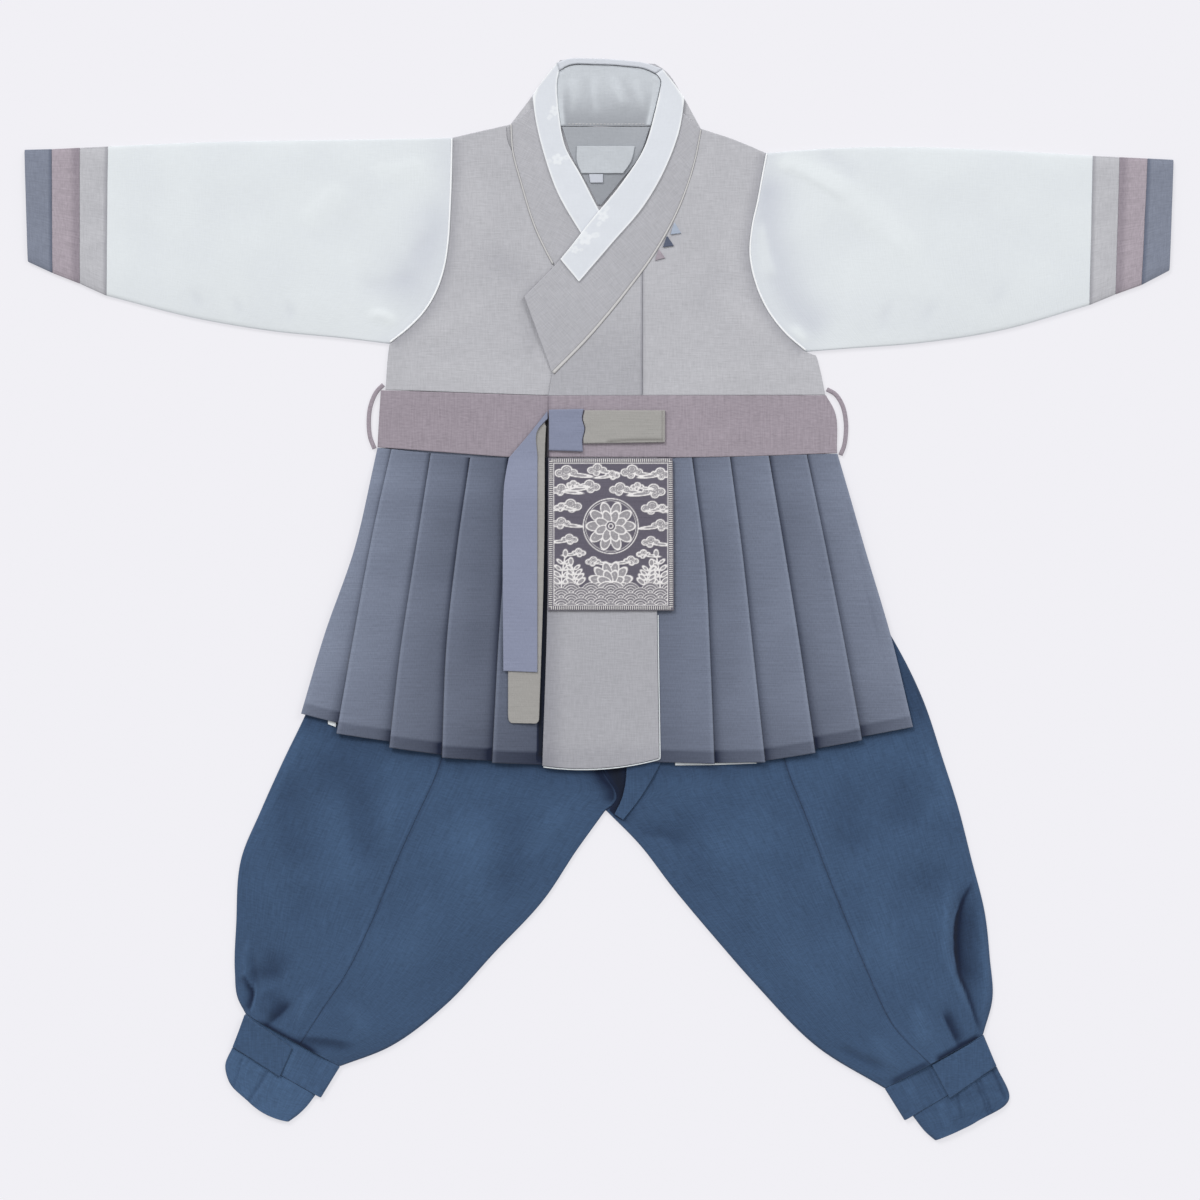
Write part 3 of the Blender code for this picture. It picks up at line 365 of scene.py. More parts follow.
@dataclass
class Solid:
    """A mesh in millimetres with what its points carry."""
    points: Array
    faces: Array
    uv: Array
    tone: Array  # 0 for the cloth's colour, 1 for its shade colour; it carries painted shade and light as well as darker doubled cloth and seams
    figure: Array  # how much of a woven or sewn figure shows

    def outward(self) -> "Solid":
        """Turn the faces round if the signed volume is negative."""
        a, b, c, d = (self.points[self.faces[:, k]] for k in range(4))
        volume = (a * (np.cross(b, c) + np.cross(c, d))).sum()
        if volume < 0.0:
            self.faces = self.faces[:, ::-1]
        return self


def join(solids: Sequence[Solid]) -> Solid:
    """Put several solids into one."""
    starts = np.cumsum([0] + [len(solid.points) for solid in solids[:-1]])
    return Solid(*(np.concatenate([getattr(solid, name) for solid in solids])
                   if name != "faces" else
                   np.concatenate([solid.faces + start for solid, start in zip(solids, starts)])
                   for name in ("points", "faces", "uv", "tone", "figure")))


def wall(outer: Array, inner: Array, uv: Array, tone: Array | float = 0,
         figure: Array | float = 0, ring: bool = False) -> Solid:
    """Close the space between two grids of points.

    Args:
        outer: points (row, column, 3).
        inner: the same number of points on the other face.
        uv: (row, column, 2) places on the cloth, in millimetres.
        tone: how shaded each point is.
        figure: how much of a figure each point shows.
        ring: whether each row closes on itself.

    Returns:
        The closed solid, its faces pointing outwards.
    """
    rows, columns = outer.shape[:2]
    index = np.arange(2 * rows * columns).reshape(2, rows, columns)
    if ring:
        index = np.concatenate([index, index[:, :, :1]], axis=2)
    a, b, c, d = index[:, :-1, :-1], index[:, :-1, 1:], index[:, 1:, 1:], index[:, 1:, :-1]
    quads = [np.stack([a[0], b[0], c[0], d[0]], -1), np.stack([a[1], d[1], c[1], b[1]], -1)]
    quads.append(np.stack([b[0, 0], a[0, 0], a[1, 0], b[1, 0]], -1))
    quads.append(np.stack([d[0, -1], c[0, -1], c[1, -1], d[1, -1]], -1))
    if not ring:
        quads.append(np.stack([a[0, :, 0], d[0, :, 0], d[1, :, 0], a[1, :, 0]], -1))
        quads.append(np.stack([c[0, :, -1], b[0, :, -1], b[1, :, -1], c[1, :, -1]], -1))
    spread_out = [np.broadcast_to(value, (rows, columns)).ravel() for value in (tone, figure)]
    return Solid(
        points=np.concatenate([outer.reshape(-1, 3), inner.reshape(-1, 3)]),
        faces=np.concatenate([quad.reshape(-1, 4) for quad in quads]),
        uv=np.concatenate([uv.reshape(-1, 2)] * 2),
        tone=np.concatenate([spread_out[0]] * 2),
        figure=np.concatenate([spread_out[1]] * 2),
    ).outward()


def pinch(outer: Array, inner: Array, down: Array, across: Array) -> tuple[Array, Array]:
    """Round a wall's edges by drawing both faces to the middle.

    Args:
        outer: points of one face.
        inner: points of the other.
        down: share of the thickness left at each row.
        across: the same at each column.

    Returns:
        Both faces.
    """
    keep = np.minimum(down[:, None], across[None, :])[..., None]
    middle = (outer + inner) / 2
    return middle + (outer - middle) * keep, middle + (inner - middle) * keep


def lifted(plan: Array, z: Array) -> Array:
    """Give a flat grid its heights."""
    return np.concatenate([plan, np.broadcast_to(z, plan.shape[:2])[..., None]], axis=-1)


def measure(plan: Array, layers: int = 1) -> Triple:
    """Work out the flat cut of a piece from its plan.

    Args:
        plan: points (row, column, 2) in millimetres.
        layers: 2 where the cloth goes all round, 1 for a single layer.

    Returns:
        Width, length and area in metres and square metres: the longest row, the longest column
        and the sum of the grid's cells.
    """
    width = np.linalg.norm(np.diff(plan, axis=1), axis=-1).sum(axis=1).max() * layers
    length = np.linalg.norm(np.diff(plan, axis=0), axis=-1).sum(axis=0).max()
    first, second = plan[1:, 1:] - plan[:-1, :-1], plan[1:, :-1] - plan[:-1, 1:]
    area = np.abs(first[..., 0] * second[..., 1] - first[..., 1] * second[..., 0]).sum() / 2 * layers
    area = min(area, width * length)
    return width * MM, length * MM, area * MM * MM


# Finishes.

class Weave(Enum):
    """How a cloth's threads run: shape of the streaks along and across, in millimetres."""
    PLAIN = (1.1, 9, 1.1, 9)
    SLUB = (1.1, 16, 1.3, 5)
    RIBBED = (0.9, 3, 1, 24)
    SMOOTH = (1.6, 6, 1.6, 6)


def linear(code: str) -> tuple[float, float, float, float]:
    """An sRGB hex colour as linear light, opaque."""
    values = [int(code.lstrip("#")[i:i + 2], 16) / 255 for i in (0, 2, 4)]
    return (*(v / 12.92 if v <= 0.04045 else ((v + 0.055) / 1.055) ** 2.4 for v in values), 1)


def add(tree: bpy.types.NodeTree, kind: str, links: dict | None = None, **settings: object) -> bpy.types.Node:
    """Add one node.

    Args:
        tree: the material's nodes.
        kind: the node's type name.
        links: what feeds its inputs, or the value to set there, by the input's name or number.
        settings: properties of the node itself.

    Returns:
        The node.
    """
    node = tree.nodes.new(kind)
    for name, value in settings.items():
        setattr(node, name, value)
    for name, value in (links or {}).items():
        if isinstance(value, bpy.types.NodeSocket):
            tree.links.new(value, node.inputs[name])
        else:
            node.inputs[name].default_value = value
    return node


DEEP = "#0C0E13"  # cloth deep in a fold, where no light reaches it; a tone of 2 gives it
MIX_FIRST, MIX_SECOND, MIX_RESULT = 6, 7, 2  # a Mix node's colour sockets


@dataclass(frozen=True)
class Finish:
    """A woven cloth: streaks of uneven threads both ways, faint clouding, and a soft sheen."""
    name: str
    slot: str
    colour: str  # the cloth in the light
    shade: str  # colour of painted shade in creases, folds and gaps, and of doubled cloth
    weave: Weave = Weave.PLAIN
    contrast: float = 0.16  # how much the threads differ in lightness
    cloud: float = 0.05  # lightness of broad, faint patches
    cloud_size: float = 45
    bump: float = 0.22  # height of the thread relief in millimetres
    rough: float = 0.86
    sheen: float = 0.15
    thread: str | None = None  # colour of a figure's fill, if it has one
    outline: str | None = None  # colour of a figure's raised outline

    def material(self) -> bpy.types.Material:
        """Make the material, or find it where it is already made.

        Returns:
            The material. The threads are drawn about three times as coarse as real ones, because
            real ones are too fine to show.
        """
        found = bpy.data.materials.get(self.name)
        if found is not None:
            return found
        material = bpy.data.materials.new(self.name)
        material.use_nodes = True
        tree = material.node_tree
        tree.nodes.clear()
        place = add(tree, "ShaderNodeUVMap", uv_map="cloth").outputs["UV"]
        warp_wide, warp_long, weft_wide, weft_long = self.weave.value
        streaks = []
        for wide, tall, shift in ((warp_wide, warp_long, 0), (weft_long, weft_wide, 7.3)):
            turned = add(tree, "ShaderNodeMapping", {
                "Vector": place,
                "Location": (shift, shift, 0),
                "Scale": (1 / (wide * MM), 1 / (tall * MM), 1)})
            noise = add(tree, "ShaderNodeTexNoise", {
                "Vector": turned.outputs["Vector"], "Scale": 1, "Detail": 1.5, "Roughness": 0.6})
            streaks.append(noise.outputs["Fac"])
        threads = add(tree, "ShaderNodeMath", {0: streaks[0], 1: streaks[1]}, operation="ADD").outputs[0]
        patches = add(tree, "ShaderNodeTexNoise", {
            "Vector": place, "Scale": 1 / (self.cloud_size * MM), "Detail": 3.0}).outputs["Fac"]
        light = add(tree, "ShaderNodeMath", {
            0: threads, 1: self.contrast, 2: 1 - self.contrast}, operation="MULTIPLY_ADD").outputs[0]
        light = add(tree, "ShaderNodeMath", {
            0: patches, 1: 2 * self.cloud, 2: light}, operation="MULTIPLY_ADD").outputs[0]
        light = add(tree, "ShaderNodeMath", {0: light, 1: self.cloud}, operation="SUBTRACT").outputs[0]
        tone = add(tree, "ShaderNodeAttribute", attribute_name="tone").outputs["Fac"]
        deep = add(tree, "ShaderNodeMapRange", {"Value": tone, "From Min": 1, "From Max": 2}).outputs[0]
        blends = [(tone, self.shade), (deep, DEEP)]
        if self.thread is not None:
            figure = add(tree, "ShaderNodeAttribute", attribute_name="figure").outputs["Fac"]
            fill = add(tree, "ShaderNodeMapRange", {"Value": figure, "From Max": 0.4}).outputs[0]
            edge = add(tree, "ShaderNodeMapRange", {
                "Value": figure, "From Min": 0.55, "From Max": 0.9}).outputs[0]
            blends += [(fill, self.thread), (edge, self.outline)]
        colour = linear(self.colour)
        for share, over in blends:
            colour = add(tree, "ShaderNodeMix", {0: share, MIX_FIRST: colour, MIX_SECOND: linear(over)},
                         data_type="RGBA").outputs[MIX_RESULT]
        colour = add(tree, "ShaderNodeVectorMath", {0: colour, "Scale": light}, operation="SCALE").outputs[0]
        bump = add(tree, "ShaderNodeBump", {"Height": threads, "Distance": self.bump * MM, "Strength": 1.0})
        shader = add(tree, "ShaderNodeBsdfPrincipled", {
            "Base Color": colour, "Roughness": self.rough, "Sheen Weight": self.sheen,
            "Sheen Roughness": 0.5, "Specular IOR Level": 0.25, "Normal": bump.outputs["Normal"]})
        add(tree, "ShaderNodeOutputMaterial", {"Surface": shader.outputs["BSDF"]})
        return material


# Fine stiff ramie: matt white with a cool cast and hardly any relief.
RAMIE = Finish("White ramie", "white", "#E0E5E8", "#C6CAD4", Weave.PLAIN, 0.06, 0.03, bump=0.08)
# Bleached silk jacquard: brighter, with glossier flowers woven in. Its lighter figure colours also paint
# highlights along pressed edges and the armhole edges.
SILK = Finish("White silk jacquard", "white", "#DADEE5", "#C3C7D1", Weave.SMOOTH, 0.05, 0.03,
              bump=0.05, rough=0.6, sheen=0.2, thread="#EDF0F3", outline="#F6F7F9")
# Grey linen weave: warm grey with a fine cross heather.
LINEN = Finish("Grey linen weave", "grey", "#BDBDC2", "#8F8F97", Weave.PLAIN, 0.26, 0.06)
# The same linen cut on the bias for the piping, lighter than the linen, with painted shade down both sides of
# its welt.
PIPED = Finish("Piped grey linen", "grey", "#CCCBCB", "#5E5C60", Weave.SMOOTH, 0.1, 0)
# Pale cotton lining: thin, smooth and a little crumpled.
COTTON = Finish("Pale cotton lining", "lining", "#C9CED4", "#8A8D94", Weave.SMOOTH, 0.1, 0.08, 30)
# Mauve slub silk: threads of uneven thickness stand out both ways.
SLUB = Finish("Mauve slub silk", "mauve", "#A79DA6", "#7E7580", Weave.SLUB, 0.42, 0.06, rough=0.7, sheen=0.25)
# Slate linen for the cuffs.
SLATE = Finish("Slate linen weave", "slate", "#7F8595", "#4E566A", Weave.PLAIN, 0.34, 0.06)
# Blue-grey linen of the skirt, thin enough to look darker where it lies over itself; its dark shade colour
# also paints the shadows at the folds and beside the ties.
SKIRT = Finish("Blue-grey linen weave", "skirt", "#7D8598", "#0E1830", Weave.RIBBED, 0.34, 0.05)
# Small triangle of pale blue silk.
SKY = Finish("Pale blue silk", "pale_blue", "#AEB9CA", "#8E99AC", Weave.SMOOTH, 0.12, 0.03)
# Lavender ribbon: close weave with a satin look.
RIBBON = Finish("Lavender silk ribbon", "lavender", "#868CA3", "#646A82", Weave.RIBBED, 0.16, 0.04,
                rough=0.6, sheen=0.25)
# Beige ribbon, the same weave.
BEIGE = Finish("Beige silk ribbon", "beige", "#A09E9B", "#75726F", Weave.RIBBED, 0.18, 0.04,
               rough=0.6, sheen=0.25)
# Blue slub cotton of the trousers: dark, with lighter streaks along the leg.
COTTON_BLUE = Finish("Blue slub cotton", "trouser", "#425B7B", "#0A1A35", Weave.SLUB, 0.5, 0.1)
# Gauzy brocade: purple ground, tan filling threads, raised cream outlines.
BROCADE = Finish("Embroidered gauze brocade", "badge", "#5F5B68", "#3F3B45", Weave.RIBBED, 0.3, 0.06,
                 bump=0.2, rough=0.7, thread="#98959A", outline="#E6E3E3")
# Cotton sewing thread.
THREAD = Finish("Cotton sewing thread", "white", "#DCDAD8", "#B9B6B0", Weave.SMOOTH, 0.08, 0)


def placed(name: str, data: bpy.types.ID) -> bpy.types.Object:
    """Put data into the scene as an object at the origin."""
    item = bpy.data.objects.new(name, data)
    bpy.context.scene.collection.objects.link(item)
    return item


class Tailor:
    """Makes meshes into pieces of the garment and keeps what has been made."""

    def __init__(self) -> None:
        """Start with nothing made."""
        self.pieces: dict[str, bpy.types.Object] = {}
        self.cuts: dict[str, tuple[Triple, tuple[str, ...]]] = {}
        self.small: dict[str, list[str]] = {}

    def trim(self, name: str, solid: Solid, finish: Finish, sheet: str, node: bool = False) -> None:
        """Make a small piece and count it as part of the sheet that it is sewn to."""
        self.sew(name, solid, finish, node)
        self.attach(name, sheet)

    def sew(self, name: str, solid: Solid, finish: Finish, node: bool = True) -> bpy.types.Object:
        """Make one piece from a solid.

        Args:
            name: the piece's name, which is its CAD node's where it has one.
            solid: the mesh in millimetres.
            finish: its cloth.
            node: whether it stands for the CAD node of its name.

        Returns:
            The piece.
        """
        mesh = bpy.data.meshes.new(name)
        corners = solid.faces.ravel()
        mesh.vertices.add(len(solid.points))
        mesh.vertices.foreach_set("co", (solid.points * MM).astype(np.float32).ravel())
        mesh.loops.add(len(corners))
        mesh.loops.foreach_set("vertex_index", corners.astype(np.int32))
        mesh.polygons.add(len(solid.faces))
        mesh.polygons.foreach_set("loop_start", np.arange(0, len(corners), 4, dtype=np.int32))
        mesh.update(calc_edges=True)
        cloth = mesh.uv_layers.new(name="cloth")
        cloth.data.foreach_set("uv", (solid.uv * MM)[corners].astype(np.float32).ravel())
        for label, values in (("tone", solid.tone), ("figure", solid.figure)):
            layer = mesh.attributes.new(label, "FLOAT", "POINT")
            layer.data.foreach_set("value", values.astype(np.float32))
        mesh.shade_smooth()
        mesh.materials.append(finish.material())
        piece = placed("cloth_" + name if node else name, mesh)
        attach(piece, "root")
        if node:
            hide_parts(name)
        self.pieces[name] = piece
        LOG.info("%s: %d faces", name, len(solid.faces))
        return piece

    def note(self, name: str, plan: Array, on: Sequence[str], layers: int = 1) -> None:
        """Keep a sheet's flat cut and the names of what it lies on."""
        self.cuts[name] = (measure(plan, layers), tuple(on))

    def attach(self, name: str, sheet: str) -> None:
        """Count a small piece as part of the sheet that it is sewn to."""
        self.small.setdefault(sheet, []).append(name)


def ends(left: Line, right: Line) -> tuple[Line, Line]:
    """Straight lines across the start and the end of two edges."""
    return straight(left.path[0], right.path[0]), straight(left.path[-1], right.path[-1])


def edge_lines(rows: Rows, corners: Sequence[int] = ()) -> tuple[Line, Line]:
    """The left and the right line through rows of left x, y and right x, y, sharp at some rows."""
    return tuple(curve(*(row[k:k + 2] for row in rows), corners=corners) for k in (0, 2))


@dataclass
class Layer:
    """One layer of cloth between a left and a right edge."""
    name: str
    finish: Finish
    left: Line
    right: Line
    under: Height
    top: Line | None = None  # straight where it isn't given, and the bottom too
    bottom: Line | None = None
    thick: float = CLOTH
    step: float = STEP
    rim: float = RIM
    rounded: tuple[bool, bool, bool, bool] = (True, True, True, True)  # left, right, top and bottom edge
    relief: Relief = ()
    tone: Height = 0
    figure: Height = 0
    emboss: float = 0  # how high the figure stands out
    grain: float = 0  # turn of the weave against the layout, in degrees
    plan: Array = field(init=False, repr=False, default=None)

    def __post_init__(self) -> None:
        """Close the layer straight across where a top or a bottom isn't given."""
        top, bottom = ends(self.left, self.right)
        self.top, self.bottom = self.top or top, self.bottom or bottom

    def solid(self) -> Solid:
        """Work out the wall: an even thickness over the level below, creased on top.

        Returns:
            The closed solid.
        """
        width = max(self.top.length, self.bottom.length)
        height = max(self.left.length, self.right.length)
        u, across = spread(width, self.step, self.rounded[:2], self.rim)
        v, down = spread(height, self.step, self.rounded[2:], self.rim)
        plan = patch(self.top, self.bottom, self.left, self.right, u, v)
        self.plan = plan
        x, y = plan[..., 0], plan[..., 1]
        level, figure = read(self.under, x, y), read(self.figure, x, y)
        lift = relief_at(self.relief, x, y)
        upper = level + self.thick + np.maximum(lift, -0.35 * self.thick) + self.emboss * figure
        outer, inner = pinch(lifted(plan, upper), lifted(plan, level), down, across)
        turn = math.radians(self.grain)
        uv = np.stack([x * math.cos(turn) + y * math.sin(turn), y * math.cos(turn) - x * math.sin(turn)], -1)
        return wall(outer, inner, uv, read(self.tone, x, y), figure)

    def make(self, tailor: Tailor, *on: str, small: bool = False) -> None:
        """Sew the layer and note its cut, or attach it to what it lies on if it is a small one."""
        tailor.sew(self.name, self.solid(), self.finish)
        if small:
            tailor.attach(self.name, on[0])
        else:
            tailor.note(self.name, self.plan, on)


def quad_layer(name: str, finish: Finish, rows: Rows, under: Height, corners: Sequence[int] = (),
               **settings: object) -> Layer:
    """A layer between a left and a right edge, given as rows of left x, y and right x, y.

    Args:
        name: the piece.
        finish: its cloth.
        rows: the edges' points, from the top down.
        under: its underside.
        corners: rows where both edges turn sharply.
        settings: other fields of the layer.

    Returns:
        The layer, its top and bottom straight.
    """
    return Layer(name, finish, *edge_lines(rows, corners), under, **settings)


@dataclass
class Tube:
    """Two layers of cloth folded together at one or both sides and pressed flat."""
    name: str
    finish: Finish
    plan: Array  # (row, column, 2), columns from the first side to the last
    down: Array  # share of the thickness left at each row
    upper: Array  # height of the upper layer's face over the plan
    across: Array | None = None  # share of the thickness at each column, if one side is open
    cloth: float = THIN
    folds: tuple[bool, bool] = (True, True)
    tone: Array | float = 0
    half: float = FOLD_HALF  # half the height at a fold

    def skin(self, inset: float) -> tuple[Array, Array]:
        """One face of the wall, inset from the outside by so much.

        Each row of points runs along the upper layer, round the fold on a circle, and back
        underneath in wider steps.

        Args:
            inset: distance from the outer face.

        Returns:
            Points (row, column, 3), and for each column the plan's column that it comes from.
        """
        plan, radius = self.plan, self.half - inset
        inward = plan[:, [1, -2]] - plan[:, [0, -1]]
        inward /= np.linalg.norm(inward, axis=-1, keepdims=True)
        upper = plan.copy()
        for side, fold in enumerate(self.folds):
            if fold:
                upper[:, -side] = plan[:, -side] + inward[:, side] * self.half
        count = upper.shape[1]
        back = np.unique([*range(0, count, KEPT), 1, 2, count - 3, count - 2, count - 1])[::-1]
        rows = [lifted(upper, self.upper - inset), None, lifted(upper[:, back], np.full((1, 1), inset)), None]
        source = [np.arange(count), None, back, None]
        for side, fold in ((1, self.folds[1]), (0, self.folds[0])):
            if not fold:
                continue
            angles = FOLD_ANGLES if side else FOLD_ANGLES[::-1]
            reach = (self.half - radius * np.cos(angles))[None, :, None]
            turn = plan[:, -side][:, None] + inward[:, side][:, None] * reach
            rows[1 if side else 3] = lifted(turn, (self.half + radius * np.sin(angles))[None])
            source[1 if side else 3] = np.full(len(angles), count - 1 if side else 0)
        return (np.concatenate([row for row in rows if row is not None], axis=1),
                np.concatenate([column for column in source if column is not None]))

    def solid(self) -> Solid:
        """Work out the wall between the outer and inner skins, its open edges rounded."""
        outer, source = self.skin(0)
        inner, _ = self.skin(self.cloth)
        across = np.ones(len(source)) if self.across is None else self.across[source]
        outer, inner = pinch(outer, inner, self.down, across)
        run = np.linalg.norm(np.diff(self.plan, axis=0), axis=-1).mean(axis=1)
        along = np.concatenate([[0], np.cumsum(run)])
        steps = np.linalg.norm(np.diff(outer, axis=1), axis=-1).mean(axis=0)
        round_it = np.concatenate([[0], np.cumsum(steps)])
        uv = np.stack(np.broadcast_arrays(round_it[None, :], along[:, None]), axis=-1)
        tone = np.broadcast_to(self.tone, self.plan.shape[:2])[:, source]
        return wall(outer, inner, uv, tone, ring=all(self.folds))

    def make(self, tailor: Tailor, *on: str) -> None:
        """Sew the tube and note its cut, all round."""
        tailor.sew(self.name, self.solid(), self.finish)
        tailor.note(self.name, self.plan, on, layers=2)


def tube_grid(top: Line, bottom: Line, left: Line, right: Line, step: float = STEP,
              length: float | None = None) -> tuple[Array, ...]:
    """Lay the grid of a tube that is folded at both sides.

    Args:
        top: the line across its first end, from the left fold to the right one.
        bottom: the line across its other end.
        left: the fold on one side.
        right: the fold on the other.
        step: spacing of the grid.
        length: size down the tube, if it isn't the left fold's.

    Returns:
        The plan, the shares across from -1 to 1, the shares down, and the share of the thickness
        left at each row.
    """
    u, _ = spread(top.length, step, (False, False))
    v, down = spread(length or left.length, step)
    return patch(top, bottom, left, right, u, v), 2 * u[None] - 1, v, down


# Lines that several pieces share.

ARMHOLE_LEFT = curve((-109.5, 346.5), (-110, 319), (-111, 292.5), (-112.5, 268), (-116, 247),
                     (-122, 230), (-130.5, 216), (-143, 203), (-157, 192))
ARMHOLE_RIGHT = curve((125, 335), (121.5, 316.5), (118.5, 300), (114, 279), (112.5, 260),
                      (117, 237), (126, 217), (139, 200), (155, 186))
SIDE_LEFT = curve((-157, 192), (-158, 184), (-160, 157.6))
SIDE_RIGHT = curve((155, 186), (163, 183), (166, 171), (169.5, 153.6), corners=(1,))
EDGE_LEFT = ARMHOLE_LEFT.joined(SIDE_LEFT)
EDGE_RIGHT = ARMHOLE_RIGHT.joined(SIDE_RIGHT)
WAIST_LEFT = curve((-163.5, 157.2), (-165, 134), (-166, 114.5))
WAIST_RIGHT = curve((170, 153.4), (176, 143), (178.5, 110))
OPENING_X = -38  # edge of the front that wraps over
SEAM_X = 32.5  # seam of the overlap panel
UNDER_END_X = 31  # where the front underneath ends
WAIST_TOP = 153.2  # top of the waistband at the opening
WAIST_LOW = 106.9  # and its foot
BAND_TOP = curve((-163.5, 157.2), (-100, 155.2), (OPENING_X, WAIST_TOP), (UNDER_END_X, WAIST_TOP))

UNDER_OUTER = curve((-66, 357), (-64.5, 336), (-58.5, 313), (-46.5, 276), (-34, 251), (-20, 228))
UNDER_STRIP = curve((-31.5, 402.5), (-41, 390.5), (-50, 378), (-47, 357), (-41, 333),
                    (-31.5, 306), (-13.5, 274.5), (3, 249), corners=(2,))
UNDER_INNER = curve((-29.9, 396.3), (-31.5, 388), (-31.5, 380), (-30, 364), (-25, 339),
                    (-14, 319), (0, 292), (15, 266), corners=(2,))
OVER_OUTER = curve((76.5, 353), (72, 330), (61.5, 298), (44, 264), (19, 229.5), (-10, 195), (-35, 169.5))
OVER_STRIP = curve((47.7, 397.5), (56.5, 386.5), (64, 376), (61, 355), (51, 326),
                   (34, 295.5), (9, 266), (-15, 238), corners=(2,))
OVER_INNER = curve((42.9, 394.2), (46.4, 389.5), (45.5, 381), (42, 366), (34, 339),
                   (17, 312), (-6, 284), (-29, 255), (-56, 227), corners=(2,))


@dataclass
class Bodice:
    """The grey body of the robe: its back, both fronts and the overlap panel beside the opening."""
    finish: Finish = LINEN
    seam_shade: float = 6  # width of the painted shade beside an armhole, over the doubled seam allowance
    panel_seam: Crease = Crease(((SEAM_X, 262), (SEAM_X, 200), (SEAM_X, 140)), 0.75, 0.8, 0.8, 0.02)
    under_relief: Relief = (
        Wobble(0.22, 45, 3),
        *creases(
            (-0.75, 9, 13, 0.4, -92, 262, -66, 250, -46, 236),
            (-0.55, 7, 9, 0.3, -44, 252, -50, 215, -48, 175),
            (0.35, 9, 12, 0.3, -98, 330, -92, 300, -84, 262),
            (0.45, 9, 7, 0.3, -140, 196, -112, 205, -80, 226),
            (0.3, 7, 9, 0.3, -150, 175, -110, 172, -70, 180),
            (-0.25, 8, 8, 0.3, -60, 240, -52, 205, -50, 170)),
    )
    over_relief: Relief = (
        Wobble(0.22, 45, 5),
        *creases(
            (-0.35, 13, 9, 0.3, 100, 262, 86, 238, 76, 205),
            (0.3, 8, 10, 0.3, 112, 300, 100, 270, 96, 235),
            (0.4, 7, 9, 0.3, 135, 196, 108, 212, 84, 236),
            (0.25, 8, 7, 0.3, 150, 168, 110, 172, 60, 166),
            (0.3, 5, 8, 0.3, 86, 344, 78, 322, 72, 300)),
    )
    panel_relief: Relief = (
        Wobble(0.15, 35, 8),
        Crease(((18, 214), (8, 190), (-6, 168)), -0.2, 8, 6),
    )

    def painted_front_shade(self, seam: Line, relief: Relief, base: float) -> Height:
        """Painted shade of a front: darker in its troughs and in a band beside an armhole, over the doubled
        allowance.
        """
        band = crease_along(seam, 12, 0.42, self.seam_shade, 0.02)
        return lambda x, y: (base + band.lift(x, y) + self.panel_seam.lift(x, y)
                             - 0.22 * relief_at(relief[1:], x, y))

    def make(self, tailor: Tailor) -> None:
        """Build the back, then the fronts from the shoulders down to the waistband."""
        neck = curve((-109.5, 346.5), (-66, 356.7), (76.5, 352.8), (101, 345), (125, 335), corners=(1, 2))
        Layer("bodice_back", self.finish, EDGE_LEFT, EDGE_RIGHT, 0, neck, step=COARSE
              ).make(tailor, "floor")

        reach = curve((-69.8, 355.6), (-68.4, 344), (-64.6, 335), (-58.5, 313), (-46.5, 276),
                      (-34, 251), (-13.5, 211), (0, 190), (UNDER_END_X, 153.4))
        Layer("bodice_front_under", self.finish, EDGE_LEFT, reach, UNDER,
              bottom=curve(EDGE_LEFT.path[-1], (-100, 155.4), (OPENING_X, 153.4), (UNDER_END_X, 153.4)),
              relief=self.under_relief, tone=self.painted_front_shade(ARMHOLE_LEFT, self.under_relief, 0.15)
              ).make(tailor, "bodice_back")

        top = OVER_OUTER.share_at(0, SEAM_X)
        seam = straight(OVER_OUTER.at(top), (SEAM_X, WAIST_TOP))
        left = OVER_OUTER.between(0, top).joined(seam)
        shoulder = curve(left.path[0], (101, 345), EDGE_RIGHT.path[0])
        Layer("bodice_front_over", self.finish, left, EDGE_RIGHT, upper_level, shoulder,
              relief=self.over_relief, tone=self.painted_front_shade(ARMHOLE_RIGHT, self.over_relief, 0.12)
              ).make(tailor, "bodice_back")

        edge = straight(OVER_OUTER.path[-1], (OPENING_X, WAIST_TOP))
        Layer("overlap_panel", self.finish, seam, edge, upper_level, OVER_OUTER.between(top, 1),
              relief=self.panel_relief,
              tone=lambda x, y: (0.2 + 0.22 * smoothstep(y, 225, 170) + self.panel_seam.lift(x, y))
              ).make(tailor, "bodice_front_under")


def welt(seam: Line, under: Height, widths: XY, rise: float, painted_highlight: float = 0, tone: float = 0) -> Solid:
    """A half-round edge of piped cloth along a seam.

    Its section is a half ellipse over a flat foot, swept along the line and widening evenly.

    Args:
        seam: the line under its middle.
        under: level of its foot.
        widths: its width at the start and the end.
        rise: its height over the foot.
        painted_highlight: how much of the cloth's lighter figure colour it has, as a painted highlight.
        tone: how dark its crown is, in painted shade.

    Returns:
        The welt, with painted shade towards both its edges.
    """
    count = max(8, round(seam.length / 1.4))
    share = np.linspace(0, 1, count)
    centre = seam.at(share)
    angle = np.linspace(0, math.pi, 9)
    half = (widths[0] + (widths[1] - widths[0]) * share)[:, None, None] / 2
    plan = centre[:, None] + leftward(centre)[:, None] * half * np.cos(angle)[None, :, None]
    base = read(under, plan[..., 0], plan[..., 1])
    outer, inner = lifted(plan, base + 0.15 + rise * np.sin(angle)[None]), lifted(plan, base)
    uv = np.stack(np.broadcast_arrays(angle[None], (share * seam.length)[:, None]), axis=-1)
    shade = np.maximum(np.abs(np.cos(angle))[None] ** 3, tone) * np.ones(plan.shape[:2])
    return wall(outer, inner, uv, shade, painted_highlight)


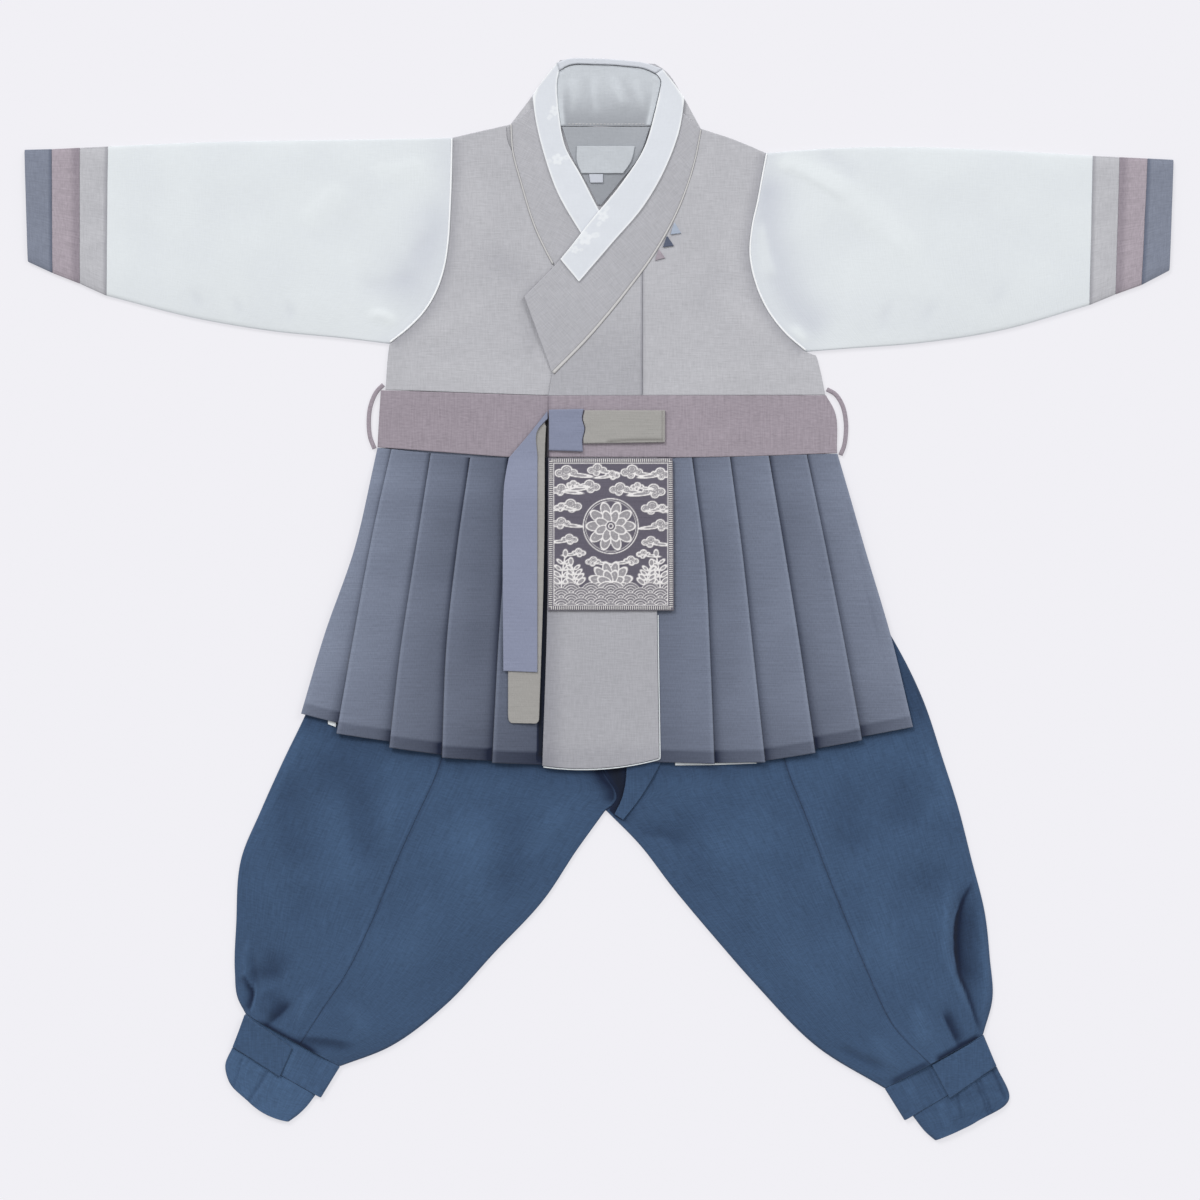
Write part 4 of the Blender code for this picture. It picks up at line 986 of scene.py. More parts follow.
@dataclass
class Sleeve:
    """One white sleeve, a flat tube from the armhole to the cuffs, with its three cuff bands."""
    side: str
    armhole: Line
    upper_fold: Line
    lower_fold: Line
    crowns: tuple[float, ...]  # rise of the middle over the folds, from armhole to cuff
    cuffs: Rows  # upper x, y and lower x, y of each edge
    relief: Relief
    cuff_crown: float = 0.8
    cuff_tones: Triple = (0.08, -0.02, 0)
    cuff_seams: Triple = (1.8, 5.6, 2.4)  # doubled cloth inside each cuff's seam
    shadows: Relief = ()  # where the cloth looks darker
    seam_ridge: float = 0.5  # the seam allowance lifts the cloth beside the armhole
    ridge_at: float = 3
    ridge_width: float = 3.2
    shoulder: Triple = (0.15, 0.25, 14)  # painted shade near the armhole: tone, and its gain at the armhole and reach
    trough_painted_shade: float = 0.45  # painted shade of a trough one millimetre deep
    edge_aside: float = 0.75  # how far the white edge of the armhole lies beside the seam
    edge_level: float = 3.1

    def body(self) -> Tube:
        """The sleeve between the armhole's curve and the first cuff."""
        end = straight(self.upper_fold.path[-1], self.lower_fold.path[-1])
        plan, side, v, down = tube_grid(self.armhole, end, self.upper_fold, self.lower_fold)
        x, y = plan[..., 0], plan[..., 1]
        crown = np.interp(v, np.linspace(0, 1, len(self.crowns)), self.crowns)[:, None]
        from_seam = (v * self.upper_fold.length)[:, None]
        ridge = self.seam_ridge * np.exp(-((from_seam - self.ridge_at) / self.ridge_width) ** 2)
        lift = relief_at(self.relief, x, y) * smoothstep(from_seam, 0, 8) + ridge
        upper = 2 * FOLD_HALF + crown * (1 - side**4) + lift * (1 - side**12)
        # Painted shade near the armhole and in the troughs, lighter on the ridges; the seam ridge is left
        # out.
        tone, gain, reach = self.shoulder
        tone = tone + gain * np.exp(-(from_seam / reach) ** 2) - self.trough_painted_shade * (lift - ridge)
        tone = tone + relief_at(self.shadows, x, y)
        return Tube("sleeve_" + self.side, RAMIE, plan, down, upper, tone=tone)

    def cuff(self, index: int, finish: Finish, name: str) -> Tube:
        """One cuff band between two rows of the table."""
        first, last = (np.array(self.cuffs[k]).reshape(2, 2) for k in (index, index + 1))
        left = straight(first[0], last[0])
        plan, side, v, down = tube_grid(straight(*first), straight(*last), left, straight(first[1], last[1]))
        lift = relief_at((Wobble(0.3, 30, 40 + index),), plan[..., 0], plan[..., 1])
        puff = 0.35 * np.sin(math.pi * v)[:, None]
        upper = 2 * FOLD_HALF + (self.cuff_crown + lift + puff) * (1 - side**8)
        doubled = self.cuff_seams[index] / left.length
        # Painted shade in the troughs and lighter on the ridges; the doubled cloth inside the seam is darker.
        tone = self.cuff_tones[index] - 0.3 * (lift - 0.15)
        tone = tone + 0.55 * smoothstep(v, 1.15 * doubled, 0.9 * doubled)[:, None]
        return Tube(f"cuff_{name}_{self.side}", finish, plan, down, upper, tone=tone)

    def make(self, tailor: Tailor) -> None:
        """Sew the sleeve and its cuffs."""
        self.body().make(tailor, "floor")
        edge = self.armhole.moved(-self.edge_aside if self.side == "left" else self.edge_aside, (0.8, 0.8))
        # The white edge of the armhole takes the lighter figure colour as a painted highlight.
        tailor.trim("armhole_edge_" + self.side, welt(edge, self.edge_level, (1.3, 1.3), 0.4, 0.8), SILK,
                    "sleeve_" + self.side)
        for index, (name, finish) in enumerate((("grey", LINEN), ("mauve", SLUB), ("slate", SLATE))):
            self.cuff(index, finish, name).make(tailor, "floor")


SLEEVE_LEFT = Sleeve(
    "left", ARMHOLE_LEFT,
    curve((-109.5, 346.5), (-165, 345.4), (-235, 344.4), (-301.5, 343), (-368, 340)),
    curve((-157, 192), (-190, 196), (-245, 201.5), (-301.5, 211), (-369, 228)),
    (0, 1.1, 1.8, 1.6, 0.8),
    ((-368, 340, -369, 228), (-389, 339, -389, 237), (-410, 338, -409.5, 245),
     (-430.5, 337.5, -428, 253.5)),
    (Wobble(0.2, 55, 21),
     *creases(
         (0.5, 9, 7, 0.3, -190, 314, -206, 296, -224, 276),
         (-0.45, 9, 7, 0.3, -134, 246, -158, 236, -184, 238),
         (0.9, 4, 4, 0.4, -150, 205, -160, 212, -176, 214),
         (-0.5, 3.5, 3.5, 0.5, -233, 204, -231, 214, -236, 226),
         (-0.4, 3.5, 3.5, 0.5, -269, 208, -270, 218, -274, 228),
         (-0.4, 3.5, 3.5, 0.5, -299, 214, -301, 224, -306, 234),
         (0.4, 9, 6, 0.3, -122, 330, -150, 322, -176, 320),
         (0.35, 6, 10, 0.3, -120, 285, -142, 268, -152, 250))),
    shadows=(Crease(((-124, 310), (-132, 262), (-144, 234), (-166, 214)), 0.55, 14, 20, 0.35),))
SLEEVE_RIGHT = Sleeve(
    "right", ARMHOLE_RIGHT,
    curve((125, 335), (169, 338.3), (235, 339.5), (301, 337), (370, 333)),
    curve((155, 186), (188, 188.5), (240, 192.5), (301, 202), (367.5, 221)),
    (0, 1.1, 1.8, 1.6, 0.8),
    ((370, 333, 367.5, 221), (390, 332, 387, 229), (411, 331, 406.5, 236),
     (430.5, 330, 427.5, 247)),
    (Wobble(0.2, 55, 22),
     *creases(
         (1, 9, 3, 0.25, 127, 329, 150, 321, 170, 310, 190, 297),
         (0.7, 12, 7, 0.3, 176, 308, 194, 292, 212, 276, 244, 250),
         (0.9, 3, 8, 0.25, 120, 286, 124, 270, 128, 252, 134, 238),
         (-0.35, 7, 7, 0.3, 160, 338, 176, 330, 196, 312),
         (1, 4, 4, 0.4, 158, 192, 150, 198, 144, 208),
         (-0.4, 4, 4, 0.5, 212, 196, 214, 212, 222, 228),
         (-0.35, 5, 5, 0.5, 240, 198, 246, 214, 256, 230),
         (-0.35, 5, 5, 0.5, 292, 210, 298, 226, 310, 244))),
    shadows=(Crease(((129, 325), (127, 290), (136, 240), (154, 212), (176, 196)),
                    0.55, 18, 10, 0.15),))


def blossom(x: Array, y: Array, centre: XY, size: float, petals: int, turn: float) -> Array:
    """How much of a simple flower covers each point.

    Args:
        x: places across.
        y: places along.
        centre: its middle.
        size: radius of the petals' tips.
        petals: how many.
        turn: angle of the first petal.

    Returns:
        1 inside petals whose edge is the radius 0.62 + 0.38 |cos(petals angle / 2)| of the size,
        less at the eye, 0 outside.
    """
    dx, dy = x - centre[0], y - centre[1]
    radius = np.hypot(dx, dy)
    angle = np.arctan2(dy, dx) - turn
    edge = size * (0.62 + 0.38 * np.abs(np.cos(petals * angle / 2)))
    eye = 1 - 0.8 * np.exp(-((radius / (0.22 * size)) ** 2))
    return smoothstep(edge - radius, -0.3, 0.5) * eye


@dataclass
class Collar:
    """Crossed grey collars with white jacquard strips, piped seams and the linings inside the neck."""
    strip_figure: float = 0.26
    edge_highlight: float = 0.75  # painted highlight along the pressed edges of the white strips
    blossoms: Rows = (
        # x, y, size and turn of each woven flower
        (-10.5, 270.5, 5.6, 0.3), (3, 287, 4.2, 1.1), (-31, 330, 4.6, 0.2), (-33, 366.5, 4.2, 0.9),
        (-18, 262, 3.2, 0))
    piping_lift: float = 0.7
    facing_rise: float = 0.5  # how far the facing inside the neck lifts beside the strips
    back_ends: tuple[tuple[XY, XY], tuple[XY, XY]] = (
        # outer and inner corner of the back strip at its left and right end
        ((-31.4, 402.6), (-29.8, 396.4)), ((47.6, 397.6), (42.8, 394.3)))
    lining_relief: Relief = creases(
        (0.7, 4, 3, 0.3, -22, 394, -19, 378, -22, 360),
        (-0.35, 3, 3, 0.3, -10, 395, -8, 380, -4, 362),
        (0.7, 3.5, 3, 0.3, -3, 394, -4, 376, -1, 358),
        (0.8, 4, 3, 0.35, 8, 394, 13, 382, 20, 366),
        (0.6, 3.5, 3, 0.35, 26, 392, 30, 378, 34, 362),
        (-0.35, 3, 3, 0.3, 17, 394, 20, 384, 27, 372),
        (-0.35, 2.5, 3, 0.3, -26, 380, -23, 370, -25, 359))

    def woven_figure_and_highlight(self, *pressed: Line) -> Height:
        """Share of the glossy figure: woven flowers with short leaves, and a painted highlight along the
        pressed edges of a strip.
        """
        edge_highlights = [crease_along(edge, 14, self.edge_highlight, 0.8, 0.01) for edge in pressed]

        def figure(x: Array, y: Array) -> Array:
            """The larger of both at each point."""
            total = np.zeros(np.shape(x))
            for cx, cy, size, turn in self.blossoms:
                total = np.maximum(total, blossom(x, y, (cx, cy), size, 5, turn))
                for sign in (-1, 1):
                    lx, ly = cx + sign * 1.5 * size * math.cos(turn), cy + sign * 1.5 * size * math.sin(turn)
                    total = np.maximum(total, 0.8 * blossom(x, y, (lx, ly), 0.55 * size, 2, turn))
            return np.maximum(self.strip_figure * total, np.max([line.lift(x, y) for line in edge_highlights], axis=0))
        return figure

    def strips(self, tailor: Tailor) -> None:
        """The white strips along the neck, the later one lying over the earlier."""
        over = OVER_INNER.between(0, OVER_INNER.share_at(1, 255))
        end = straight(OVER_STRIP.path[-1], over.path[-1])
        for side, outer, inner, under, figure, seed in (
                ("under", UNDER_STRIP, UNDER_INNER, ON_UNDER, (UNDER_STRIP, UNDER_INNER), 31),
                ("over", OVER_STRIP, over, raised(upper_level, UNDER), (OVER_STRIP, OVER_INNER, end), 32)):
            Layer("collar_strip_" + side, SILK, outer, inner, under, thick=TRIM, step=0.9, rim=0.35,
                  emboss=0.15, rounded=(True, True, False, True), relief=(Wobble(0.15, 18, seed),),
                  figure=self.woven_figure_and_highlight(*figure)).make(tailor, "collar_" + side)
        left, right = self.back_ends
        # The back strip is painted in shade, darker than the strips in front.
        Layer("collar_strip_back", SILK, straight(*left), straight(*right), UNDER,
              curve(left[0], (-24, 405.2), (-8, 405.7), (18, 404.3), (36, 401.9), right[0]),
              curve(left[1], (-24.5, 399.8), (-2, 401.2), (20, 400), (35, 397.8), right[1]),
              thick=ON_UNDER + TRIM - UNDER, step=1, rim=0.9, rounded=(False, False, True, True),
              relief=(Wobble(0.15, 14, 33),), tone=0.45).make(tailor, "collar_back", small=True)

    def make(self, tailor: Tailor) -> None:
        """Build the collars from the back of the neck forwards, then what lies inside it."""
        crumple = (Wobble(0.15, 40, 34),)
        rows = ((-29, 405, 42, 402), (-40.5, 391, 49, 397.5), (-50, 378, 64, 376), (-66, 357, 76.5, 353))
        quad_layer("collar_back", LINEN, rows, 0, corners=(2,), step=3).make(tailor, "floor")
        inner = UNDER_INNER.from_point(2).moved(-0.8)
        Layer("collar_under", LINEN, UNDER_OUTER, inner, UNDER,
              relief=crumple, grain=62, tone=0.24).make(tailor, "collar_back")
        Layer("collar_over", LINEN, OVER_OUTER, OVER_INNER.from_point(2), upper_level,
              relief=crumple, grain=-48, tone=0.3).make(tailor, "bodice_front_under")
        self.strips(tailor)

        seen = UNDER_OUTER.between(0, UNDER_OUTER.share_at(1, 251))
        for side, seam, under, widths in (
                ("under", seen, ON_UNDER - GAP, (1.4, 1.7)),
                ("over", OVER_OUTER, raised(upper_level, CLOTH), (1.2, 3))):
            piping = welt(seam.moved(0, (0.8, 0.8)), under, widths, self.piping_lift)
            tailor.trim("piping_" + side, piping, PIPED, "collar_" + side, node=True)

        sides = [line.between(0, line.share_at(1, 355)).moved(aside, (0.6, 0)) for line, aside in (
            (UNDER_INNER, -0.35), (OVER_INNER, -0.4))]
        facing = [crease_along(side.moved(aside), 8, 1, 1.9, 0.02) for side, aside in zip(sides, (1.9, -1.9))]
        ridges = [Crease(band.line, self.facing_rise, 2.2, 2.2, 0.02) for band in facing]
        # Its tone is darker towards the foot of the neck and lighter along the raised facing beside the
        # strips, with painted shade in the lining's troughs.
        Layer("neck_lining", COTTON, *sides, UNDER,
              curve(sides[0].path[0], (-24, 399.4), (-2, 400.8), (20, 399.6), (35, 397.4), sides[1].path[0]),
              thick=TRIM, step=1, rim=0.3, relief=(*self.lining_relief, Wobble(0.2, 16, 35), *ridges),
              tone=lambda x, y: (0.05 + 0.7 * smoothstep(y, 392, 352)
                                 - sum(band.lift(x, y) for band in facing)
                                 - 0.25 * relief_at(self.lining_relief, x, y))).make(tailor, "collar_back")
        row = straight((-23.5, 356.6), (34.5, 356.6))
        tailor.trim("neck_stitches", stitches(row, 2.6, UNDER + TRIM + 0.1), THREAD, "neck_lining")
        quad_layer("back_lining", COTTON, ((-27.8, 354.6, 38.4, 354.6), (-20, 331.5, 29.8, 331.5),
                                           (-9, 312, 14.5, 312), (-0.6, 296, 1.4, 296)),
                   UNDER, thick=TRIM, step=1.5, rim=0.3, relief=(Wobble(0.2, 20, 36),),
                   tone=lambda x, y: 0.64 + 0.18 * smoothstep(y, 340, 315)).make(tailor, "bodice_back")
        on_lining = UNDER + TRIM + GAP
        fine = {"thick": TRIM, "step": 1.2, "rim": 0.35}
        quad_layer("size_tab", RAMIE, ((-7.5, 319, 3, 319), (-6.5, 312.5, 3, 312.5)), on_lining,
                   tone=1, **fine).make(tailor, "neck_label", small=True)
        quad_layer("neck_label", COTTON, ((-16.5, 340, 27, 340), (-16.5, 328.5, 24, 328.5),
                                          (-13, 319.6, 18, 319.6)), on_lining,
                   relief=(Wobble(0.25, 15, 37),), tone=0.15, **fine).make(tailor, "back_lining")


@dataclass
class Triangles:
    """Three small folded triangles of silk tucked in beside the upper collar."""
    rows: tuple[tuple[str, Finish, XY, XY, XY], ...] = (
        # name, cloth, apex and both foot corners
        ("triangle_blue", SKY, (56.5, 282), (53.5, 273.5), (61.5, 274.5)),
        ("triangle_slate", SLATE, (51, 272), (47.8, 264), (56, 265)),
        ("triangle_mauve", SLUB, (44.8, 262), (42, 254), (49.5, 256)),
    )
    tip: float = 0.8  # width of the blunt tip

    def make(self, tailor: Tailor) -> None:
        """Sew the three, each a small layer with its tip towards the shoulder."""
        for name, finish, apex, left, right in self.rows:
            half = self.tip / 2
            layer = quad_layer(name, finish, ((apex[0] - half, apex[1], apex[0] + half, apex[1]),
                                              (*left, *right)), raised(upper_level, UNDER),
                               thick=TRIM, step=0.8, rim=0.35,
                               tone=0.85 if finish is SLATE else 0.2)
            layer.make(tailor, "bodice_front_over", small=True)


# Painted shadow in the gap beside the ties, down the waistband and the skirt.
TIE_GAP_SHADOW = Crease(((-38, 141), (-38.9, 131), (-39.2, 119), (-39.2, 104), (-39.6, 45), (-41.6, -45),
                  (-43.2, -86), (-43.2, -122)), 2.4, 1.7, 1.7, 0.03)


@dataclass
class Waist:
    """The mauve waistband in three stretches, its belt loops, the two long ties and the tied end."""
    loop_width: float = 3.3
    loop_thick: float = 2
    bow_thick: float = 2.2
    bow_seams: Relief = creases(
        (-0.6, 0.9, 0.9, 0.1, 4, 118.2, 22, 119.4, 36, 119.8, 49.4, 119.6),
        (-0.4, 0.6, 0.6, 0.02, 47.4, 142, 47.6, 130, 47.4, 118))
    loops: tuple[tuple[str, tuple[XY, ...]], ...] = (
        ("belt_loop_left", ((-161.6, 161.4), (-166.2, 156.8), (-170.8, 147), (-172.6, 133), (-171.4, 121.5),
                            (-168.3, 113.4))),
        ("belt_loop_right", ((170.8, 158), (177, 154.4), (182, 147), (184.8, 136), (185, 124),
                             (183.6, 115), (181, 108.6))),
    )

    def band(self, tailor: Tailor) -> None:
        """The back and both ends of the waistband."""
        Layer("waistband_back", SLUB, WAIST_LEFT, WAIST_RIGHT, 0, step=COARSE).make(tailor, "floor")
        Layer("waistband_under", SLUB, WAIST_LEFT,
              straight((UNDER_END_X, WAIST_TOP), (UNDER_END_X, WAIST_LOW)), UNDER, BAND_TOP,
              curve((-166, 114.3), (-67.5, WAIST_LOW), (UNDER_END_X, WAIST_LOW), corners=(1,)),
              relief=(Wobble(0.3, 38, 51),
                      *creases(
                          (0.3, 4, 6, 0.3, -150, 150, -120, 146, -84, 147),
                          (0.3, 6, 4, 0.3, -156, 126, -120, 122, -90, 118))),
              tone=lambda x, y: 0.4 + TIE_GAP_SHADOW.lift(x, y)).make(tailor, "waistband_back")
        Layer("waistband_over", SLUB, straight((OPENING_X, WAIST_TOP), (OPENING_X, WAIST_LOW)),
              WAIST_RIGHT, upper_level,
              bottom=curve((OPENING_X, WAIST_LOW), (100, 107.4), (178.5, 110)),
              relief=(Wobble(0.3, 38, 52),
                      *creases(
                          (0.3, 4, 6, 0.3, 70, 146, 110, 143, 160, 146),
                          (0.3, 6, 4, 0.3, 62, 118, 110, 122, 168, 119))),
              # Painted shade: a dark line along the opening edge, and the shadow beside the ties.
              tone=lambda x, y: 0.32 + 0.45 * np.exp(-(((x - OPENING_X) / 1.4) ** 2)) + TIE_GAP_SHADOW.lift(x, y)
              ).make(tailor, "waistband_under")

    def hang_loops(self, tailor: Tailor) -> None:
        """The belt loops stand out at both sides as narrow flat bands."""
        for name, points in self.loops:
            middle = curve(*points)
            half = self.loop_width / 2
            Layer(name, SLUB, middle.moved(half), middle.moved(-half), 0, thick=self.loop_thick,
                  step=1.2, rim=0.8, tone=0.35).make(tailor, "waistband_back", small=True)

    def ties(self, tailor: Tailor) -> None:
        """The beige tie and over it the lavender one, both hanging from the opening."""
        quad_layer("tie_long_beige", BEIGE, (
            (-41, 133, -39.6, 130), (-54, 119, -40.2, 119), (-65, 106.5, -40.6, 106.5),
            (-66.5, 96, -40.6, 96), (-67.5, 85.5, -40.6, 85.5), (-68, 75, -40.6, 75),
            (-68, 10, -41.6, 10), (-68, -87, -44.7, -87), (-67.2, -90.6, -45.4, -91),
            (-65.6, -92, -47, -92.4)),
            raised(ON_UNDER, 0, 1.5), corners=(2, 7), thick=TRIM, step=1.5,
            relief=(Wobble(0.2, 22, 61),), tone=0.1).make(tailor, "skirt_front_left")
        quad_layer("tie_long_lavender", RIBBON, (
            (-38.6, 141.5, -38.4, 136), (-52.5, 124, -46, 127), (-67.5, 106.5, -46, 106.5),
            (-69.5, 96, -46, 96), (-71, 85.5, -46, 85.5), (-71.5, 75, -46, 75),
            (-72, 20, -46, 20), (-71.5, -53, -46, -54)),
            raised(ON_UNDER + TRIM + GAP, 0, 1.5), corners=(2,), thick=TRIM, step=1.5,
            relief=(Wobble(0.25, 24, 62),
                    Crease(((-64, 108), (-58, 96), (-56, 70)), 0.35, 3, 5, 0.3))
            ).make(tailor, "tie_long_beige")

    def bows(self, tailor: Tailor) -> None:
        """The tied end across the waistband: a lavender piece and a doubled beige one."""
        on_band = raised(upper_level, UNDER)
        Layer("bow_lavender", RIBBON, straight((-37.5, 142.5), (-37.5, 112)),
              curve((-11.4, 143), (-12.6, 136), (-10.8, 128), (-12.4, 120), (-12, 111)),
              on_band, thick=self.bow_thick, step=1.3, rim=0.9,
              relief=(Wobble(0.25, 16, 63),
                      Crease(((-36, 128), (-26, 125), (-14, 127)), 0.3, 4, 4)),
              tone=0.14).make(tailor, "waistband_over")
        Layer("bow_beige", BEIGE,
              curve((-10.6, 142), (-12, 136), (-10.2, 128), (-11.8, 120), (-11.6, 117)),
              straight((49.5, 142), (49.5, 118)), on_band, thick=self.bow_thick, step=1, rim=0.7,
              relief=(Wobble(0.2, 22, 64), *self.bow_seams),
              tone=lambda x, y: -1.3 * relief_at(self.bow_seams, x, y)).make(tailor, "waistband_over")

    def make(self, tailor: Tailor) -> None:
        """Build the waist from the band outwards."""
        self.band(tailor)
        self.hang_loops(tailor)
        self.ties(tailor)
        self.bows(tailor)


def capsules(centres: Array, runs: Array, length: float, radius: float, level: Array) -> Solid:
    """Many short stitches as one solid.

    Each is a six-sided bar along its run whose rings shrink towards both ends.

    Args:
        centres: the stitches' middles on the layout (count, 2).
        runs: unit vectors along them.
        length: of a stitch.
        radius: of its thread.
        level: height of each stitch's middle.

    Returns:
        The stitches.
    """
    along = np.array([-0.5, -0.42, 0, 0.42, 0.5]) * length
    size = np.array([0.3, 0.8, 1, 0.8, 0.3]) * radius
    angle = np.arange(6) * math.pi / 3
    flat = (centres[:, None, None] + runs[:, None, None] * along[None, :, None, None]
            + quarter_turn(runs)[:, None, None] * (size[:, None] * np.cos(angle))[None, ..., None])
    z = level[:, None, None] + (size[:, None] * np.sin(angle))[None]
    points = np.concatenate([flat, z[..., None]], axis=-1)
    rings, sides = len(along), len(angle)
    index = np.arange(rings * sides).reshape(rings, sides)
    turned = np.roll(index, -1, axis=1)
    around = np.stack([index[:-1], turned[:-1], turned[1:], index[1:]], -1).reshape(-1, 4)
    first, last = index[0], index[-1][::-1]
    caps = np.array([[end[0], end[3], end[2], end[1]] for end in (first, last)]
                    + [[end[0], end[5], end[4], end[3]] for end in (first, last)])
    one = np.concatenate([around, caps])
    count = len(centres)
    faces = (one[None] + np.arange(count)[:, None, None] * rings * sides).reshape(-1, 4)
    flat_points = points.reshape(-1, 3)
    return Solid(flat_points, faces, flat_points[:, :2], np.zeros(len(flat_points)),
                 np.zeros(len(flat_points))).outward()


def stitches(line: Line, pitch: float, level: Height, length: float = 1.9, radius: float = 0.22,
             cross: bool = False) -> Solid:
    """A row of stitches along a line.

    Args:
        line: where they run.
        pitch: distance from one stitch to the next.
        level: height of the cloth that they are sewn through.
        length: of a stitch.
        radius: of the thread.
        cross: whether they lie across the line, as an overcast edge has them.

    Returns:
        The row.
    """
    count = max(2, round(line.length / pitch))
    share = (np.arange(count) + 0.5) / count
    centres = line.at(share)
    runs = line.at(np.minimum(share + 0.5 / count, 1)) - line.at(np.maximum(share - 0.5 / count, 0))
    runs /= np.linalg.norm(runs, axis=1, keepdims=True)
    if cross:
        runs = quarter_turn(runs)
    middle = np.broadcast_to(read(level, *centres.T), count) + 0.4 * radius
    return capsules(centres, runs, length, radius, middle)


@dataclass
class Embroidery:
    """Motifs laid one over another, at points measured from the middle of the ground."""
    x: Array
    y: Array
    outline: float = 0.75  # width of a couched outline
    filled: float = 0.42  # figure value of a motif's filling
    figure: Array = field(init=False)  # 0 for the ground to 1 for an outline

    def __post_init__(self) -> None:
        """Start with the bare ground."""
        self.figure = np.zeros(self.x.shape)

    def ellipse(self, middle: XY, radii: XY, turn: float = 0) -> Array:
        """Distance from an ellipse's edge, below 0 inside: scaled radius less 1, times the shorter one."""
        dx, dy = self.x - middle[0], self.y - middle[1]
        a = (dx * math.cos(turn) + dy * math.sin(turn)) / radii[0]
        b = (dy * math.cos(turn) - dx * math.sin(turn)) / radii[1]
        return (np.hypot(a, b) - 1) * min(radii)

    def trace(self, edge: Array, width: float, value: Array | float = 1) -> None:
        """Couch a line along an edge: the value on it, nothing beyond its width."""
        line = smoothstep(np.abs(edge), width / 2 + 0.25, width / 2 - 0.2)
        self.figure = np.maximum(self.figure, value * line)

    def lay(self, edge: Array, inside: float | None = None) -> None:
        """Lay a motif over the figure: its filling inside the edge, and its outline along it."""
        inside = self.filled if inside is None else inside
        body = smoothstep(edge, 0.25, -0.25)
        line = smoothstep(np.abs(edge), self.outline / 2 + 0.25, self.outline / 2 - 0.2)
        self.figure = (self.figure * (1 - body) + inside * body) * (1 - line) + line

    def cloud(self, middle: XY, size: float, way: float) -> None:
        """A cloud of four round lobes and a drawn-out tail, each lobe with a curl of its own."""
        lobes = [((middle[0] + lx * size, middle[1] + ly * size), radius * size) for lx, ly, radius in (
            (0, 0.32, 0.6), (-0.8 * way, -0.04, 0.5), (0.78 * way, 0, 0.44), (-0.15 * way, -0.4, 0.42))]
        edge = self.ellipse((middle[0] + way * 1.45 * size, middle[1] - 0.3 * size),
                            (1.25 * size, 0.2 * size), -0.1 * way)
        for at, radius in lobes:
            edge = np.minimum(edge, self.ellipse(at, (radius, 0.82 * radius)))
        self.lay(edge)
        for at, radius in lobes:
            self.trace(self.ellipse(at, (0.5 * radius, 0.42 * radius)), 0.45, 0.9)

    def petals(self, middle: XY, count: int, reach: float, radii: XY, turn: float) -> None:
        """A ring of pointed petals, each with a vein: their count, reach, radii and first angle."""
        for k in range(count):
            angle = turn + k * 2 * math.pi / count
            at = (middle[0] + reach * math.cos(angle), middle[1] + reach * math.sin(angle))
            self.lay(self.ellipse(at, radii, angle))
            self.trace(self.ellipse(at, (0.55 * radii[0], 0.5), angle), 0.3, 0.8)

    def medallion(self, middle: XY) -> None:
        """Two rings of petals round a seeded eye, inside a double circle."""
        self.lay(self.ellipse(middle, (20.5, 20.5)), 0)
        self.trace(self.ellipse(middle, (18.9, 18.9)), 0.4)
        self.petals(middle, 10, 12.2, (6, 3.5), 0)
        self.petals(middle, 8, 7, (5, 3), math.pi / 8)
        self.lay(self.ellipse(middle, (3.6, 3.6)), 0)
        self.trace(self.ellipse(middle, (1.7, 1.7)), 0.8)

    def waves(self, rows: int, radius: float, first: float) -> None:
        """Rows of overlapping arches along the foot, each of four rings, from the back row down."""
        for row in range(rows):
            shift = (row % 2) * radius
            column = np.round((self.x - shift) / (2 * radius))
            distance = np.hypot(self.x - shift - column * 2 * radius, self.y - first + 0.5 * radius * row)
            inside = smoothstep(distance, radius + 0.25, radius - 0.25)
            self.figure = self.figure * (1 - inside) + 0.4 * self.filled * inside
            for ring in (0.96, 0.7, 0.44, 0.18):
                self.trace(distance - ring * radius, 0.6, inside)

    def sprig(self, root: XY, height: float, lean: float) -> None:
        """A stem that bends to one side, with paired leaves and a bud at its tip."""
        share = np.clip((self.y - root[1]) / height, 0, 1)
        inside = (self.y > root[1]) & (self.y < root[1] + height)
        self.trace(self.x - root[0] - lean * height * share**2, 1.1, inside)
        for part in (0.22, 0.4, 0.58, 0.76):
            size = 3.9 - 2 * part
            for sign in (-1, 1):
                at = (root[0] + lean * height * part**2 + sign * (size + 0.5), root[1] + height * part + 1.7)
                self.lay(self.ellipse(at, (size, 0.46 * size), sign * 0.65))
        self.lay(self.ellipse((root[0] + lean * height, root[1] + height + 1.6), (1.7, 2.7)))


